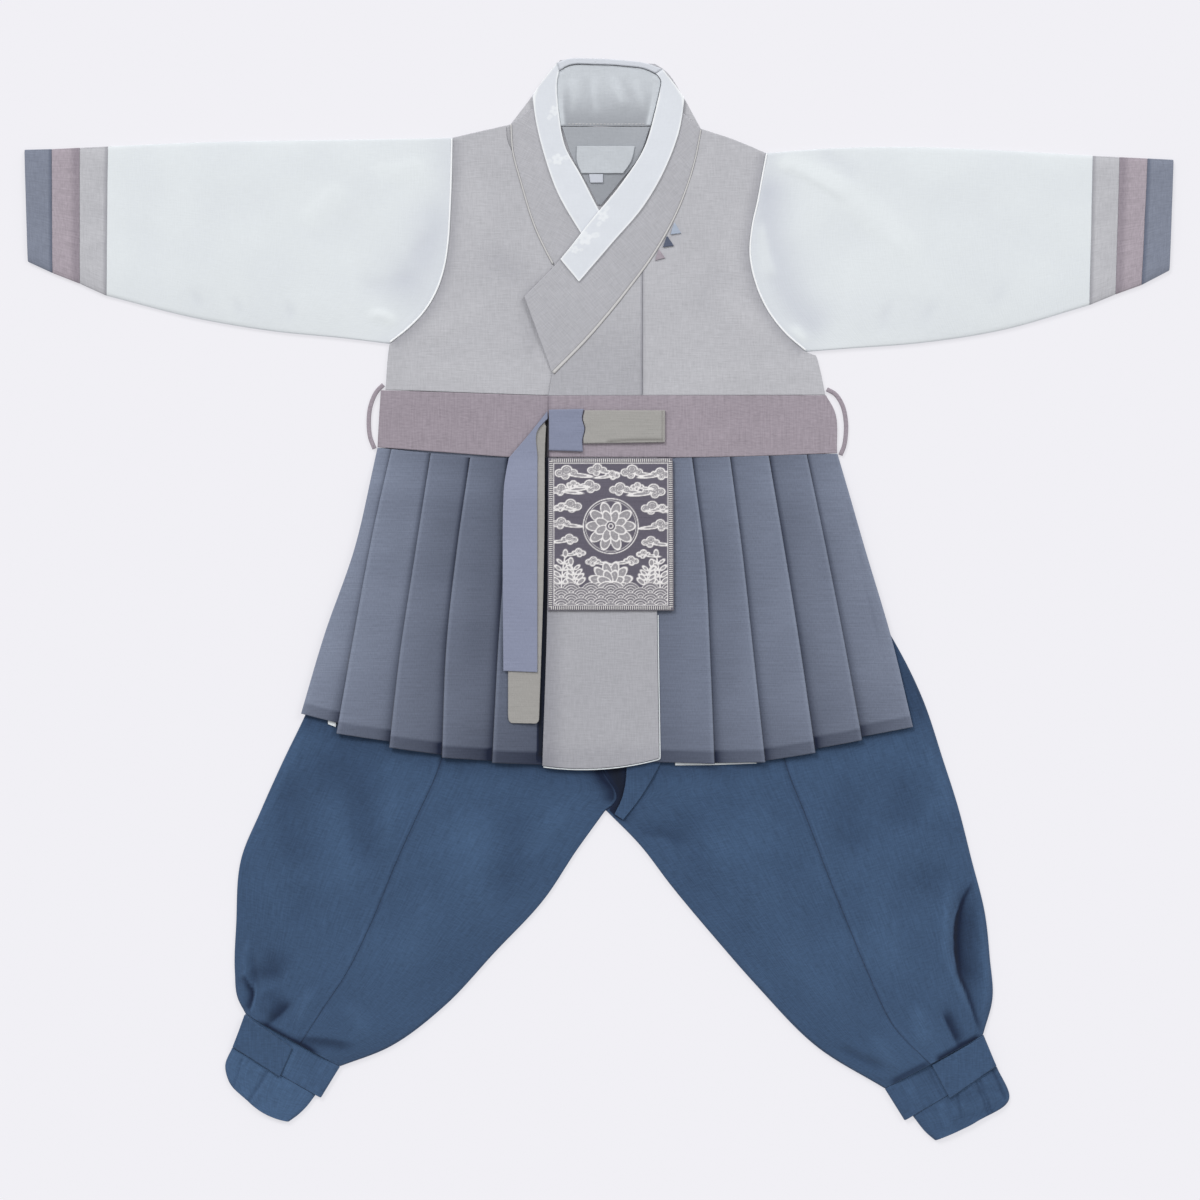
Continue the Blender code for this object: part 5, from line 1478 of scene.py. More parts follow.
@dataclass
class Badge:
    """The embroidered square: a flower medallion and a lotus among clouds and sprigs, over waves."""
    thick: float = 1.5
    rise: float = 0.35  # how far the thread work stands above the ground
    centre: XY = (8.8, 49.2)
    half: XY = (46.8, 57.2)  # half its width and height
    border: float = 3.9  # width of the overcast edge
    rows: Rows = (
        (-38, 106.4, 55, 106.4), (-38, 96, 55.5, 96), (-38, 85.5, 55.6, 85.5),
        (-38.1, 75, 55.7, 75), (-38.4, -8, 56, -8))
    clouds: Rows = (
        # middle x and y from the badge's centre, size, and 1 or -1 for the way its tail points
        (-33, 46, 6.6, 1), (-10, 48, 5.6, 1), (16, 46.5, 6.4, 1), (37, 45, 5.6, -1),
        (-37, 33, 5.4, 1), (-16, 35.5, 6, -1), (7, 33.5, 6, 1), (32, 32, 6.6, -1),
        (-30, 21, 6.2, -1), (31, 19.5, 6.2, 1), (-37, 8, 5.4, 1), (37, 6.5, 5.4, -1),
        (-31, -4, 4.8, -1), (30, -6, 5.2, 1), (-13, -20.5, 4.4, 1), (15, -20, 4.4, -1),
        (-37, 20, 4, 1), (38.5, 19, 4, -1), (-24, -14, 4, -1), (24.5, -15, 4, 1),
        (1, 44, 4.2, -1), (-28, 37, 3.8, 1), (20, 35.5, 3.8, 1))
    sprigs: Rows = (
        # root x and y, height and lean
        (-37, -42, 26, 0.12), (-26, -41, 19, -0.2), (37, -42, 26, -0.12), (26.5, -41, 18, 0.22))
    medallion_at: XY = (0, 6)
    lotus_at: XY = (0, -37)
    stitched: tuple[XY, ...] = (  # the overcast edge, corner by corner
        (-35.9, 104.3), (53.4, 104.3), (53.9, -5.9), (-36.3, -5.9), (-35.9, 104.3))

    def figure(self, x: Array, y: Array) -> Array:
        """The whole design over the layout, 0 for the ground to 1 for an outline."""
        x, y = x - self.centre[0], y - self.centre[1]
        work = Embroidery(x, y)
        for cloud_x, cloud_y, size, way in self.clouds:
            work.cloud((cloud_x, cloud_y), size, way)
        for root_x, root_y, height, lean in self.sprigs:
            work.sprig((root_x, root_y), height, lean)
        work.medallion(self.medallion_at)
        work.petals(self.lotus_at, 12, 9, (7.4, 3.3), math.pi / 12)
        work.petals(self.lotus_at, 8, 5, (5.4, 3), math.pi / 8)
        work.waves(5, 7.4, -43.5)
        from_edge = np.minimum(self.half[0] - np.abs(x), self.half[1] - np.abs(y))
        work.figure = np.where(from_edge < self.border, 0.12, work.figure)
        work.trace(from_edge - self.border - 0.3, 0.6)
        return work.figure

    def make(self, tailor: Tailor) -> None:
        """Sew the panel and overcast its edges."""
        level = raised(ON_UNDER + UNDER, 0, 1)
        quad_layer("badge", BROCADE, self.rows, level, thick=self.thick, step=0.54, rim=0.8,
                   figure=self.figure, emboss=self.rise, relief=(Wobble(0.2, 50, 71),)
                   ).make(tailor, "waistband_over", "skirt_center_panel")
        face = raised(level, self.thick + 0.15)
        edge = [stitches(straight(a, b), 1.55, face, 2.9, 0.36, cross=True)
                for a, b in zip(self.stitched, self.stitched[1:])]
        tailor.trim("badge_stitches", join(edge), THREAD, "badge")


@dataclass(frozen=True)
class PleatFold:
    """One pressed fold of the skirt, or the skirt's open side."""
    top: XY
    mid: XY
    low: XY
    hem_x: float
    hem_above: float  # hem of the panel that dips under the fold
    hem_fold: float  # hem of the panel that carries the fold

    def line(self, carries: bool) -> Line:
        """The fold from waist to hem, ending at the hem of one of its two panels."""
        hem_y = self.hem_fold if carries else self.hem_above
        return curve(self.top, self.mid, self.low, (self.hem_x, hem_y))


def pleats(*rows: Sequence[float]) -> tuple[PleatFold, ...]:
    """Folds from rows of x and y at the top, the middle and low down, the hem's x and both its heights."""
    return tuple(PleatFold((a, b), (c, d), (e, f), *hem) for a, b, c, d, e, f, *hem in rows)


@dataclass
class SkirtFront:
    """One front of knife pleats, a single wall.

    Across a panel the cloth rises evenly from where it dips under one fold to the next fold. At a
    fold it turns on a half circle as high as the drop, and the next panel starts behind it. The
    cloth is thin, so it looks darker beside a fold, where the pleat lies doubled under it. Painted
    shade lies at the foot of each fold and a painted highlight along each crown.
    """
    side: str
    toward: float  # -1 or 1, the way from the centre to the open side
    clear: XY  # distances from the centre between which creases may start
    shades: tuple[float, ...]  # tone of each panel's outer half
    folds: tuple[PleatFold, ...]  # the hidden edge, the folds outwards, and last the open side
    relief: Relief
    depth: float = 1.5  # drop from a fold to the cloth beside it
    ties: XY = (-77, -36)  # the ties lie over the cloth between these x
    tuck: float = 0.25  # how far the next panel starts behind the fold's round
    hem_band: float = 9  # the doubled hem
    hem_shade: float = 0.42
    doubled: XY = (0.12, 0.16)  # share of a panel that looks darker at the waist, and its growth
    dip_shade: float = 0.25  # how much darker it looks there
    slope: float = 0.3  # and at the foot of a fold than at the next fold
    groove: XY = (0.7, 2.8)  # tone and width of the shadow at the foot of a fold
    glint: XY = (0.28, 1.3)  # and of the light along a fold's crown
    low_shade: float = 0.13  # how much darker the cloth is towards the hem
    shade_gain: float = 0.64  # all of these are shares of a tone that is less than the full shade

    def drop(self, x: Array, y: Array) -> Array:
        """Depth of the pleats: slight at the waistband, full on the trousers, less under the ties."""
        up = climb(x, y)
        share = np.maximum(up / CLIMB_RISE, 0.12 + 0.28 * smoothstep(CLIMB_TOP - y, 0, 14))
        under_ties = (x > self.ties[0]) & (x < self.ties[1])
        return np.where(under_ties, np.minimum(self.depth * share, 0.2 + 0.45 * up), self.depth * share)

    def panel(self, number: int, before: Array, carried: Array, tuck: Array,
              radius: Array, v: Array) -> tuple[Array, ...]:
        """One panel, from where it starts to the fold that it carries.

        Args:
            number: which panel it is, from the centre.
            before: where it starts, as (row, 2).
            carried: where its fold lies.
            tuck: how far it starts behind the fold before.
            radius: of its own fold, at each row.
            v: shares down.

        Returns:
            Plans of the upper face and of the foot, share of the drop, and tone, each over the
            panel's grid, and what the rims leave of the thickness at each column.
        """
        last = number == len(self.folds) - 2
        width = np.linalg.norm(carried - before, axis=1).mean()
        u, rim = spread(width, STEP, (number == 0, last))
        u, rim = (u, rim) if last else (u[:-1], rim[:-1])
        end_tuck = np.zeros_like(radius) if last else radius + 0.4
        plan = before[:, None] * (1 - u)[None, :, None] + carried[:, None] * u[None, :, None]
        plan[..., 0] -= self.toward * (tuck * (1 - u)[None] ** 3 + end_tuck * (u[None] ** 6))
        rise = 0.25 * smoothstep(u, 0, 0.5) if last else smoothstep(u, 0.08 if number else 0.35, 0.85)
        doubled = smoothstep(u[None], (self.doubled[0] + self.doubled[1] * v)[:, None], 0)
        from_foot, from_crown = u[None] * width, (1 - u[None]) * width
        depth = self.groove[0] * (number > 0) * (1 - 0.6 * v[:, None])
        tone = (self.shades[number] + self.slope * (1 - u[None]) ** 1.3 + self.dip_shade * doubled
                + depth * np.exp(-((from_foot / self.groove[1]) ** 2))
                - self.glint[0] * np.exp(-((from_crown / self.glint[1]) ** 2)))
        return plan, plan, np.broadcast_to(rise, plan.shape[:2]), tone, rim

    def bend(self, number: int, carried: Array, radius: Array) -> tuple[Array, ...]:
        """The half circle on which the cloth turns at a fold; it returns what a panel does."""
        turn = np.radians([90, 50, 10, -35, -75])
        top = np.repeat(carried[:, None], len(turn), axis=1)
        foot = top.copy()
        top[..., 0] -= self.toward * radius * (1 - np.cos(turn))[None]
        foot[..., 0] -= self.toward * (radius + 0.3 - 0.1 * np.arange(len(turn))[None])
        # Tone runs from the painted highlight on the crown to full painted shade under the fold.
        tone = np.linspace(self.shades[number] - self.glint[0], 1, len(turn))
        share, tone = (np.broadcast_to(row, top.shape[:2]) for row in (0.5 + 0.5 * np.sin(turn), tone))
        return top, foot, share, tone, np.ones(len(turn))

    def make(self, tailor: Tailor) -> None:
        """Join the panels and the bends between them into one wall, and sew it."""
        hidden, *folds = self.folds
        lengths = [fold.line(True).length for fold in folds]
        v, down = spread(max(lengths), STEP)
        parts, before, tuck = [], hidden.line(True).at(v), np.zeros((len(v), 1))
        for number, fold in enumerate(folds):
            carried = fold.line(True).at(v)
            radius = self.drop(carried[:, 0], carried[:, 1])[:, None] / 2
            parts.append(self.panel(number, before, carried, tuck, radius, v))
            parts.append(self.bend(number, carried, radius))
            before, tuck = fold.line(False).at(v), radius + self.tuck
        parts.pop()
        top, foot, share, tone = (np.concatenate([part[k] for part in parts], axis=1) for k in range(4))
        x, y = top[..., 0], top[..., 1]
        lift = relief_at(self.relief, x, y) * smoothstep(self.toward * x, *self.clear)
        lift = lift * smoothstep(104 - y, 0, 15)
        upper = UNDER + climb(x, y) + CLOTH + self.drop(x, y) * share + np.maximum(lift, -0.4)
        under = UNDER + climb(foot[..., 0], foot[..., 1])
        outer, inner = pinch(lifted(top, upper), lifted(foot, under), down,
                             np.concatenate([part[4] for part in parts]))
        from_hem = (1 - v)[:, None] * np.mean(lengths)
        # Painted shade in the troughs and painted light on the ridges.
        tone = tone - 0.3 * lift
        tone = tone + self.hem_shade * smoothstep(from_hem, self.hem_band + 0.7, self.hem_band - 0.7)
        tone = tone + self.low_shade * smoothstep(from_hem, 55, 12)
        tone = self.shade_gain * (tone + TIE_GAP_SHADOW.lift(x, y))
        name = "skirt_front_" + self.side
        tailor.sew(name, wall(outer, inner, top, tone), SKIRT)
        tailor.note(name, top, ("skirt_back",))


@dataclass
class Skirt:
    """Two fronts of knife pleats, the plain back, the centre panel and the lining at the hem."""
    fronts: tuple[SkirtFront, ...] = (
        SkirtFront("left", -1, (74, 84), (0.72, 0.6, 0.5, 0.22, 0.02), pleats(
            (-22, 106.7, -22, 40, -22, -40, -22, -124, -124),
            (-67.5, 106.7, -70.5, 37.5, -75.5, -35, -80, -120.5, -122),
            (-96.5, 106.7, -106.5, 37, -114, -31, -117.5, -116, -118),
            (-126, 109.9, -138.5, 29, -149, -40, -157, -106, -110.5),
            (-155.5, 113, -169, 52, -185, -34.5, -196.5, -92, -100),
            (-166, 114.1, -183, 38.5, -205.5, -26, -223, -85, -85)),
            (Wobble(0.3, 60, 81),
             *creases(
                 (0.3, 10, 6, 0.3, -131, 96, -142, 40, -160, -30),
                 (0.3, 4, 8, 0.3, -190, 20, -204, -30, -216, -70),
                 (-0.25, 10, 10, 0.3, -86, 60, -92, 0, -98, -70)))),
        SkirtFront("right", 1, (58, 68), (0.38, 0.36, 0.3, 0.42, 0.24), pleats(
            (31, 106.7, 31, 40, 31, -40, 31, -121, -121),
            (69.5, 107.2, 79.5, 29, 83.5, -46, 86.5, -122, -122.6),
            (98, 107.4, 107, 39, 116, -43, 124.5, -120.5, -121.5),
            (127, 108.1, 139.5, 34, 150.5, -35, 162, -111.5, -114.5),
            (155.5, 109, 169, 43.5, 183, -28, 197, -102.5, -105),
            (178.7, 109.6, 198, 42, 219, -29, 235, -95, -95)),
            (Wobble(0.3, 60, 82),
             *creases(
                 (-0.25, 9, 9, 0.3, 92, 90, 98, 30, 104, -50),
                 (0.3, 9, 9, 0.3, 150, 60, 160, 0, 172, -60),
                 (-0.45, 0.9, 0.9, 0.04, 193.5, 39.8, 207, -20, 222, -90),
                 (-0.3, 0.9, 0.9, 0.1, 183, 92, 189, 66, 193.5, 39.8)))))
    panel_rows: Rows = (
        (-37.5, 106.6, 43.5, 106.6), (-37.5, 85.5, 43.5, 85.5), (-38.8, -10.5, 43.5, -10.5),
        (-42.4, -124, 45, -118.5))
    panel_dip: float = 4.5  # how far the centre panel's hem bows down
    rim_share: float = 0.48  # share of the panel's right edge along which its white lining shows
    back_short: float = 8  # the back's hem stops this much above the front's
    lining_level: float = 3
    linings: tuple[tuple[str, Rows], ...] = (
        ("left", ((-203, -86.5, -203, -93), (-196.9, -87.5, -196.9, -95.3))),
        ("right", ((57, -115.5, 57, -123.9), (92, -115, 92, -123.4), (118, -113, 118, -122.4))))

    def back(self, tailor: Tailor) -> None:
        """The plain back, between the open sides of both fronts."""
        sides = []
        for front in self.fronts:
            side = front.folds[-1].line(True)
            hem_y = float(skirt_hem(side.path[-1, 0])) + self.back_short
            sides.append(side.between(0, side.share_at(1, hem_y)))
        left, right = sides
        x = np.linspace(left.path[-1, 0], right.path[-1, 0], 60)
        hem = Line(np.stack([x, skirt_hem(x) + self.back_short], axis=1))
        hem.path[0], hem.path[-1] = left.path[-1], right.path[-1]
        Layer("skirt_back", SKIRT, left, right, climb, bottom=hem, step=COARSE, tone=0.2
              ).make(tailor, "trouser_waistband")

    def center_panel(self, tailor: Tailor) -> None:
        """The grey panel over the opening, with its white lining rolled out along the hem."""
        left, right = edge_lines(self.panel_rows)
        share = np.linspace(0, 1, 40)
        hem_path = left.path[-1] * (1 - share)[:, None] + right.path[-1] * share[:, None]
        hem_path[:, 1] -= self.panel_dip * 4 * share * (1 - share)
        level = raised(ON_UNDER, 0, 1)
        # Painted shade darker towards the ties at its left, and darker towards the hem.
        Layer("skirt_center_panel", LINEN, left, right, level, bottom=Line(hem_path),
              relief=(Wobble(0.25, 55, 83), Crease(((20, -20), (24, -60), (30, -104)), 0.3, 8, 8)),
              tone=lambda x, y: 0.5 + 0.4 * smoothstep(x, -22, -41) + 0.15 * smoothstep(y, -104, -118)
              ).make(tailor, "skirt_front_left", "skirt_front_right")
        rim = Line(hem_path).between(0, 1).joined(Line(right.path[::-1]).between(0, self.rim_share))
        tailor.trim("skirt_panel_rim", welt(rim.moved(-0.7, (0.8, 0.8)), level, (1.1, 0.9), 0.5), RAMIE,
                    "skirt_center_panel")

    def make(self, tailor: Tailor) -> None:
        """Build the back, both fronts, the centre panel and the lining."""
        self.back(tailor)
        for front in self.fronts:
            front.make(tailor)
        self.center_panel(tailor)
        for side, rows in self.linings:
            quad_layer("skirt_lining_" + side, RAMIE, rows, self.lining_level, thick=TRIM, step=1.5
                       ).make(tailor, "skirt_front_" + side, small=True)


@dataclass
class Leg:
    """One leg of the trousers: an outer and an inner panel, each folded round its edge of the leg."""
    side: str
    outer: Line
    seam: Line
    inner: Line
    relief: Relief
    shadows: Relief  # the tone that sharp folds add, dark on one side
    crown: float = 3.6  # rise of the middle over the folded edges
    step: float = 2.15  # spacing of the grid where the leg shows
    depth: float = 1.6  # the creases are so much deeper than their table says
    shade_gain: float = 0.17  # painted shade of a trough one millimetre deep
    tone: float = 0.3
    creased: XY = (4, 26)  # distances below the skirt's hem between which the creases deepen
    under_hem: Triple = (0.25, 22, -2)  # shade just below the hem, and where it fades
    seam_dark: XY = (0.28, 1.1)  # tone and width of the dark line beside the seam
    seam_light: Triple = (0.18, 2.3, 0.9)  # its painted highlight beside the seam: tone, distance and width
    crotch: XY = (12, -143)
    crotch_shade: float = 0.15
    crotch_reach: float = 24  # how far the shade round it reaches
    crotch_level: float = 1.9  # foot of the seam between the legs
    puff: XY = (15, 80)  # distances below the skirt's hem between which the leg fills out
    seen_below: float = -70  # above this y the skirt hides the leg
    least_width: float = 120  # of a panel, for the count of its columns

    def panel(self, name: str, fold: Line) -> Tube:
        """A panel from the seam to a folded edge and back underneath."""
        size = max(np.linalg.norm(fold.path[0] - self.seam.path[0]), self.least_width)
        u, across = spread(size, self.step, (True, False))
        v, down = spread(self.seam.length, self.step)
        seen = self.seam.at(v)[:, 1] < self.seen_below
        keep = seen | (np.arange(len(v)) % KEPT == 0) | (np.arange(len(v)) < len(RIM_PLACES))
        v, down = v[keep], down[keep]
        plan = patch(*ends(self.seam, fold), self.seam, fold, u, v)
        x, y = plan[..., 0], plan[..., 1]
        below = skirt_hem(x) - y
        full = smoothstep(below, *self.puff)
        creased = relief_at(self.relief, x, y)
        lift = self.depth * creased * smoothstep(below, *self.creased) * (1 - u[None] ** 14)
        from_seam = u[None] * size
        upper = 2 * FOLD_HALF + self.crown * full * (1 - u[None] ** 3) + lift
        upper = np.maximum(upper, 2 * FOLD_HALF - 0.02)
        # Painted shade in the troughs and below the skirt's hem, lighter on the ridges.
        shade, start, end = self.under_hem
        tone = self.tone - self.shade_gain * creased + shade * smoothstep(below, start, end)
        off = (x - self.crotch[0]) ** 2 + (y - self.crotch[1]) ** 2
        tone = tone + self.crotch_shade * np.exp(-(off / self.crotch_reach**2))
        dark, width = self.seam_dark
        tone = tone + relief_at(self.shadows, x, y) + dark * np.exp(-((from_seam / width) ** 2))
        if name.startswith("trouser_outer"):
            light, place, width = self.seam_light
            tone = tone - light * np.exp(-(((from_seam - place) / width) ** 2))
        return Tube(name, COTTON_BLUE, plan, down, upper, across, folds=(False, True), tone=tone)

    def make(self, tailor: Tailor) -> None:
        """Sew both panels."""
        for kind, fold in (("outer", self.outer), ("inner", self.inner)):
            self.panel(f"trouser_{kind}_{self.side}", fold).make(tailor, "floor")
        if self.side == "left":
            seam = curve(*CROTCH[2:])
            # The seam where the legs meet is painted at full shade, as the shadow there.
            tailor.trim("crotch_seam", welt(seam, self.crotch_level, (1.4, 1.4), 0.3, tone=1), COTTON_BLUE,
                        "trouser_inner_left")


# Where both legs meet under the skirt; below it the left one bulges over the right.
CROTCH = ((5, 55), (5, -7.5), (4, -105), (2.5, -126), (8, -136), (12.5, -143), (13.5, -148.5),
          (10.5, -153.5), (5, -157.5))

LEG_LEFT = Leg(
    "left",
    curve((-151, 55), (-185, 7.5), (-221, -88), (-236, -119), (-254, -159),
          (-268, -193), (-272, -243), (-273, -279), (-271, -298), (-265, -310)),
    curve((-89, 55), (-98, 0), (-113, -101), (-122, -131), (-137, -163.5),
          (-152, -197), (-171, -243), (-190, -281), (-208, -308), (-224, -332.8)),
    curve(*CROTCH, (-17, -188), (-40.5, -223.5), (-78, -264), (-116, -304.5), (-157, -335),
          (-194, -349.5), corners=(8,)),
    (Wobble(0.45, 70, 91),
     *creases(
         (0.8, 3, 6, 0.3, -217, -90, -240, -140, -259, -182),
         (-0.8, 13, 13, 0.3, -225.5, -122, -233, -157, -227, -192, -212, -210),
         (-0.6, 11, 11, 0.3, -212, -212, -222, -232, -228, -250),
         (-0.7, 13, 13, 0.3, -177, -128, -177, -170, -167, -205),
         (0.9, 11, 11, 0.3, -202, -137, -192, -192, -184, -230),
         (0.7, 6, 6, 0.3, -150, -140, -158, -172, -160, -196),
         (-0.8, 12, 12, 0.45, -256, -268, -247, -277, -238, -288),
         (-1, 3, 4.5, 0.3, -262, -258, -258, -287, -261, -309),
         (0.9, 3, 3, 0.3, -264, -250, -265, -280, -267, -300),
         (-0.8, 3.5, 5, 0.3, -230, -296, -236, -308, -249, -321),
         (1, 4.5, 4.5, 0.35, -215, -288, -219, -302, -226, -322),
         (0.8, 3.5, 3.5, 0.4, -250, -296, -247, -308, -252, -318),
         (-0.7, 4, 4, 0.35, -230, -330, -205, -333, -180, -337),
         (0.7, 6, 6, 0.4, -190, -300, -178, -318, -170, -332),
         (0.7, 16, 20, 0.3, -100, -150, -92, -200, -96, -250),
         (-0.7, 14, 14, 0.3, -60, -150, -66, -190, -80, -230),
         (0.6, 12, 12, 0.3, -120, -210, -136, -250, -150, -290),
         (0.7, 8, 12, 0.3, -20, -150, -40, -176, -58, -200))),
    # Both sides of the fold above the ankle, the hollow between them and the shade over the band.
    creases(
        (0.6, 0.9, 4, 0.15, -266, -279, -263, -287, -259, -293, -260, -301, -262.5, -309),
        (-0.3, 1, 1, 0.1, -257.2, -286, -257.3, -296.6, -261, -309),
        (0.2, 5, 5, 0.3, -266, -281.5, -247, -279, -233, -283.4),
        (0.16, 9, 9, 0.4, -256, -273, -243, -270, -226, -274),
        (0.4, 1.2, 8, 0.3, -229, -300, -238.5, -309.6, -251.5, -320),
        (0.24, 9, 9, 0.3, -250, -290, -246, -300, -252, -312),
        (0.75, 1.8, 1.5, 0.2, -258, -313.3, -232, -327.4, -206, -341.6),
        (0.32, 1.4, 6, 0.3, -233, -327.2, -207, -328.8, -178, -333.5),
        (0.55, 3, 7, 0.15, -2, -116, 3, -132, 10.5, -144, 8, -154),
        (0.2, 18, 30, 0.4, -216, -100, -190, -122, -150, -128)))
LEG_RIGHT = Leg(
    "right",
    curve((160, 55), (197, 7.5), (243, -75), (258, -120), (269, -154.5),
          (279, -193.5), (289.5, -236), (293, -268.5), (295, -298.5), (288, -325.5)),
    curve((109.5, 55), (118.5, 0), (133, -96), (142.5, -131), (154.5, -161),
          (170, -202.5), (188, -247.5), (202, -281), (220.5, -319), (248, -347.4)),
    curve(*((x + 0.06, y) for x, y in CROTCH), (31, -184), (54, -214), (87, -253.5),
          (119, -290), (163.5, -335), (214, -366), corners=(8,)),
    (Wobble(0.45, 70, 92),
     *creases(
         (0.8, 6, 3, 0.3, 238, -95, 256, -140, 268, -180),
         (-0.7, 13, 13, 0.3, 233, -122, 228, -150, 221, -178),
         (0.7, 8, 8, 0.4, 253, -140, 252, -156, 251, -174),
         (-0.6, 11, 11, 0.4, 254, -192, 247, -206, 238, -222),
         (-1.4, 5, 5, 0.22, 279, -205, 271, -235, 269, -262, 276, -292, 285, -320),
         (-0.8, 6, 4, 0.25, 281, -214, 279, -240, 279, -265, 284, -300),
         (1.3, 6, 3.5, 0.25, 265, -205, 259, -240, 259, -262, 270, -292, 280, -318),
         (1, 2.5, 2.5, 0.25, 284, -222, 288, -255, 290, -290, 286, -318),
         (-0.8, 4.5, 4, 0.3, 256, -300, 264, -318, 272, -337),
         (1.2, 7, 7, 0.35, 238, -300, 240, -318, 248, -338),
         (-1.1, 4, 4, 0.35, 174, -332, 196, -344, 220, -353),
         (0.8, 5, 5, 0.4, 200, -322, 214, -340, 226, -356),
         (0.7, 12, 14, 0.3, 205, -200, 214, -250, 226, -290),
         (-0.6, 13, 13, 0.3, 188, -128, 186, -165, 196, -200),
         (-1.2, 7, 3, 0.3, 22, -170, 34, -174, 50, -176, 66, -190),
         (0.7, 4, 3, 0.3, 103, -266, 120, -286, 138, -306),
         (0.4, 18, 16, 0.3, 90, -150, 100, -200, 120, -250),
         (-0.7, 12, 14, 0.3, 62, -150, 70, -186, 84, -224),
         (0.6, 12, 12, 0.3, 140, -230, 152, -270, 176, -316))),
    # The deep fold down the outer side, the small one beside it, the shade over the band and the crotch.
    creases(
        (0.55, 2.4, 0.8, 0.1, 281.5, -208, 272.3, -224, 268.3, -235, 266.3, -251, 266.8, -265,
         268.7, -281, 274.3, -292, 278.3, -303, 282.2, -315, 286.6, -326),
        (0.42, 15, 0.8, 0.3, 276, -219, 266.9, -240, 266.4, -262, 270, -284, 276.5, -298),
        (-0.2, 0.9, 1.2, 0.1, 270, -224, 265.3, -240, 265, -264, 272, -291, 281, -316),
        (0.55, 6, 0.9, 0.3, 256, -306, 261.3, -318, 266.3, -328, 270, -336),
        (0.85, 2, 1.5, 0.15, 250, -345, 269, -334.6, 286.5, -325.5),
        (0.65, 2, 1.5, 0.2, 216, -363, 232, -354, 250, -344.6),
        (1, 9, 8, 0.06, 9, -112, 13, -131, 17, -144, 15, -153, 9, -161)))


@dataclass
class Ankle:
    """The gathered end of one leg: its band, the lapped tab on it and the trouser end below."""
    side: str
    band: Rows  # outer x, y and inner x, y, from the top
    end: Rows
    tab: Rows
    bow: float  # how far the end's hem bows out
    end_relief: Relief
    band_relief: Relief
    tone: float = 0.27
    end_light: float = 0  # how much lighter the end is than the band
    shade_gain: float = 0.25
    band_cloth: float = 1.4
    band_height: float = 4

    def tube(self, name: str, rows: Rows, height: float, half: float,
             bow: float, cloth: float, relief: Relief, tone: float) -> Tube:
        """A short flat tube across the leg.

        Args:
            name: the piece.
            rows: its edges, from the leg down.
            height: of its upper face in the middle.
            half: half its height at both folds.
            bow: how far its lower edge bows out.
            cloth: its thickness.
            relief: its creases.
            tone: how shaded its cloth is where it lies flat.

        Returns:
            The tube.
        """
        outer, inner = edge_lines(rows)
        top, low = ends(outer, inner)
        run = low.path[-1] - low.path[0]
        down_way = np.array([run[1], -run[0]]) / np.hypot(*run)
        down_way = down_way if down_way[1] < 0 else -down_way
        share = np.linspace(0, 1, len(low.path))[:, None]
        low = Line(low.path + bow * 4 * share * (1 - share) * down_way)
        plan, side, _, down = tube_grid(top, low, outer, inner, 1.4, max(outer.length, inner.length))
        lift = relief_at(relief, plan[..., 0], plan[..., 1])
        rise = height - 2 * half + lift
        upper = np.maximum(2 * half + rise * (1 - side**10), 2 * half - 0.02)
        # Painted shade in the troughs, lighter on the ridges.
        shade = tone - self.shade_gain * lift
        return Tube(name, COTTON_BLUE, plan, down, upper, cloth=cloth, tone=shade, half=half)

    def make(self, tailor: Tailor) -> None:
        """Sew the end, the band over it and the tab on the band."""
        self.tube("ankle_end_" + self.side, self.end, 3.4, FOLD_HALF, self.bow, THIN,
                  (Wobble(0.4, 16, 101), *self.end_relief), self.tone - self.end_light).make(tailor, "floor")
        self.tube("ankle_band_" + self.side, self.band, self.band_height, 1.8, 0, self.band_cloth,
                  (Wobble(0.25, 20, 102), *self.band_relief), self.tone).make(tailor, "floor")
        tab_level = self.band_height + GAP
        quad_layer("ankle_tab_" + self.side, COTTON_BLUE, self.tab, tab_level, step=1.4,
                   relief=(Wobble(0.25, 14, 103),), tone=0.24
                   ).make(tailor, "ankle_band_" + self.side)


ANKLE_LEFT = Ankle(
    "left", ((-265.04, -310.07, -194.04, -349.57), (-274.8, -335.2, -208.4, -373)),
    ((-274.84, -335.27, -212.44, -370.85), (-280.2, -349, -219, -379.5), (-277.4, -361, -224.5, -385),
     (-262, -376.5, -232.5, -391)),
    ((-265.4, -310.6, -229.5, -335.5), (-274, -334.5, -239, -357)), 2.5,
    creases(
        (-0.9, 0.9, 0.9, 0.08, -267, -342, -270, -353, -274, -366),
        (0.7, 1.3, 0.9, 0.08, -264.6, -342, -267.6, -353, -271.6, -367),
        (-1.2, 0.9, 1.6, 0.08, -247, -352, -254, -363, -263, -377),
        (0.7, 2, 1, 0.08, -244.6, -354, -251.6, -365, -260, -378)),
    creases(
        (-0.5, 1.2, 1.2, 0.2, -238, -326, -242, -342, -246, -356),
        (0.5, 3, 3, 0.3, -226, -334, -232, -348, -236, -360)), tone=0.2,
    end_light=0.2)
ANKLE_RIGHT = Ankle(
    "right", ((288.04, -325.57, 214.04, -366.07), (298, -349.5, 229, -390)),
    ((298.04, -349.57, 235.04, -386.55), (307.5, -374, 245.5, -399.5), (282, -391.5, 252, -405)),
    ((287.5, -327, 249, -348), (297.5, -348.5, 262.5, -373)), 0.6,
    creases(
        (-1.3, 0.9, 1.2, 0.08, 294, -350, 299, -361, 305, -375),
        (-0.9, 0.8, 0.8, 0.08, 284.4, -358, 289, -370, 295, -386),
        (-0.9, 0.8, 0.8, 0.08, 281.8, -359, 286.4, -371, 292.4, -387),
        (-0.7, 0.8, 1.5, 0.08, 268, -368, 269.5, -376, 272, -390),
        (0.7, 3, 3, 0.2, 256, -375, 258, -386, 262, -398)),
    creases(
        (0.5, 3, 3, 0.3, 232, -360, 236, -372, 242, -384),
        (-0.5, 1.2, 1.2, 0.2, 246, -350, 252, -362, 258, -374)), tone=0.31)


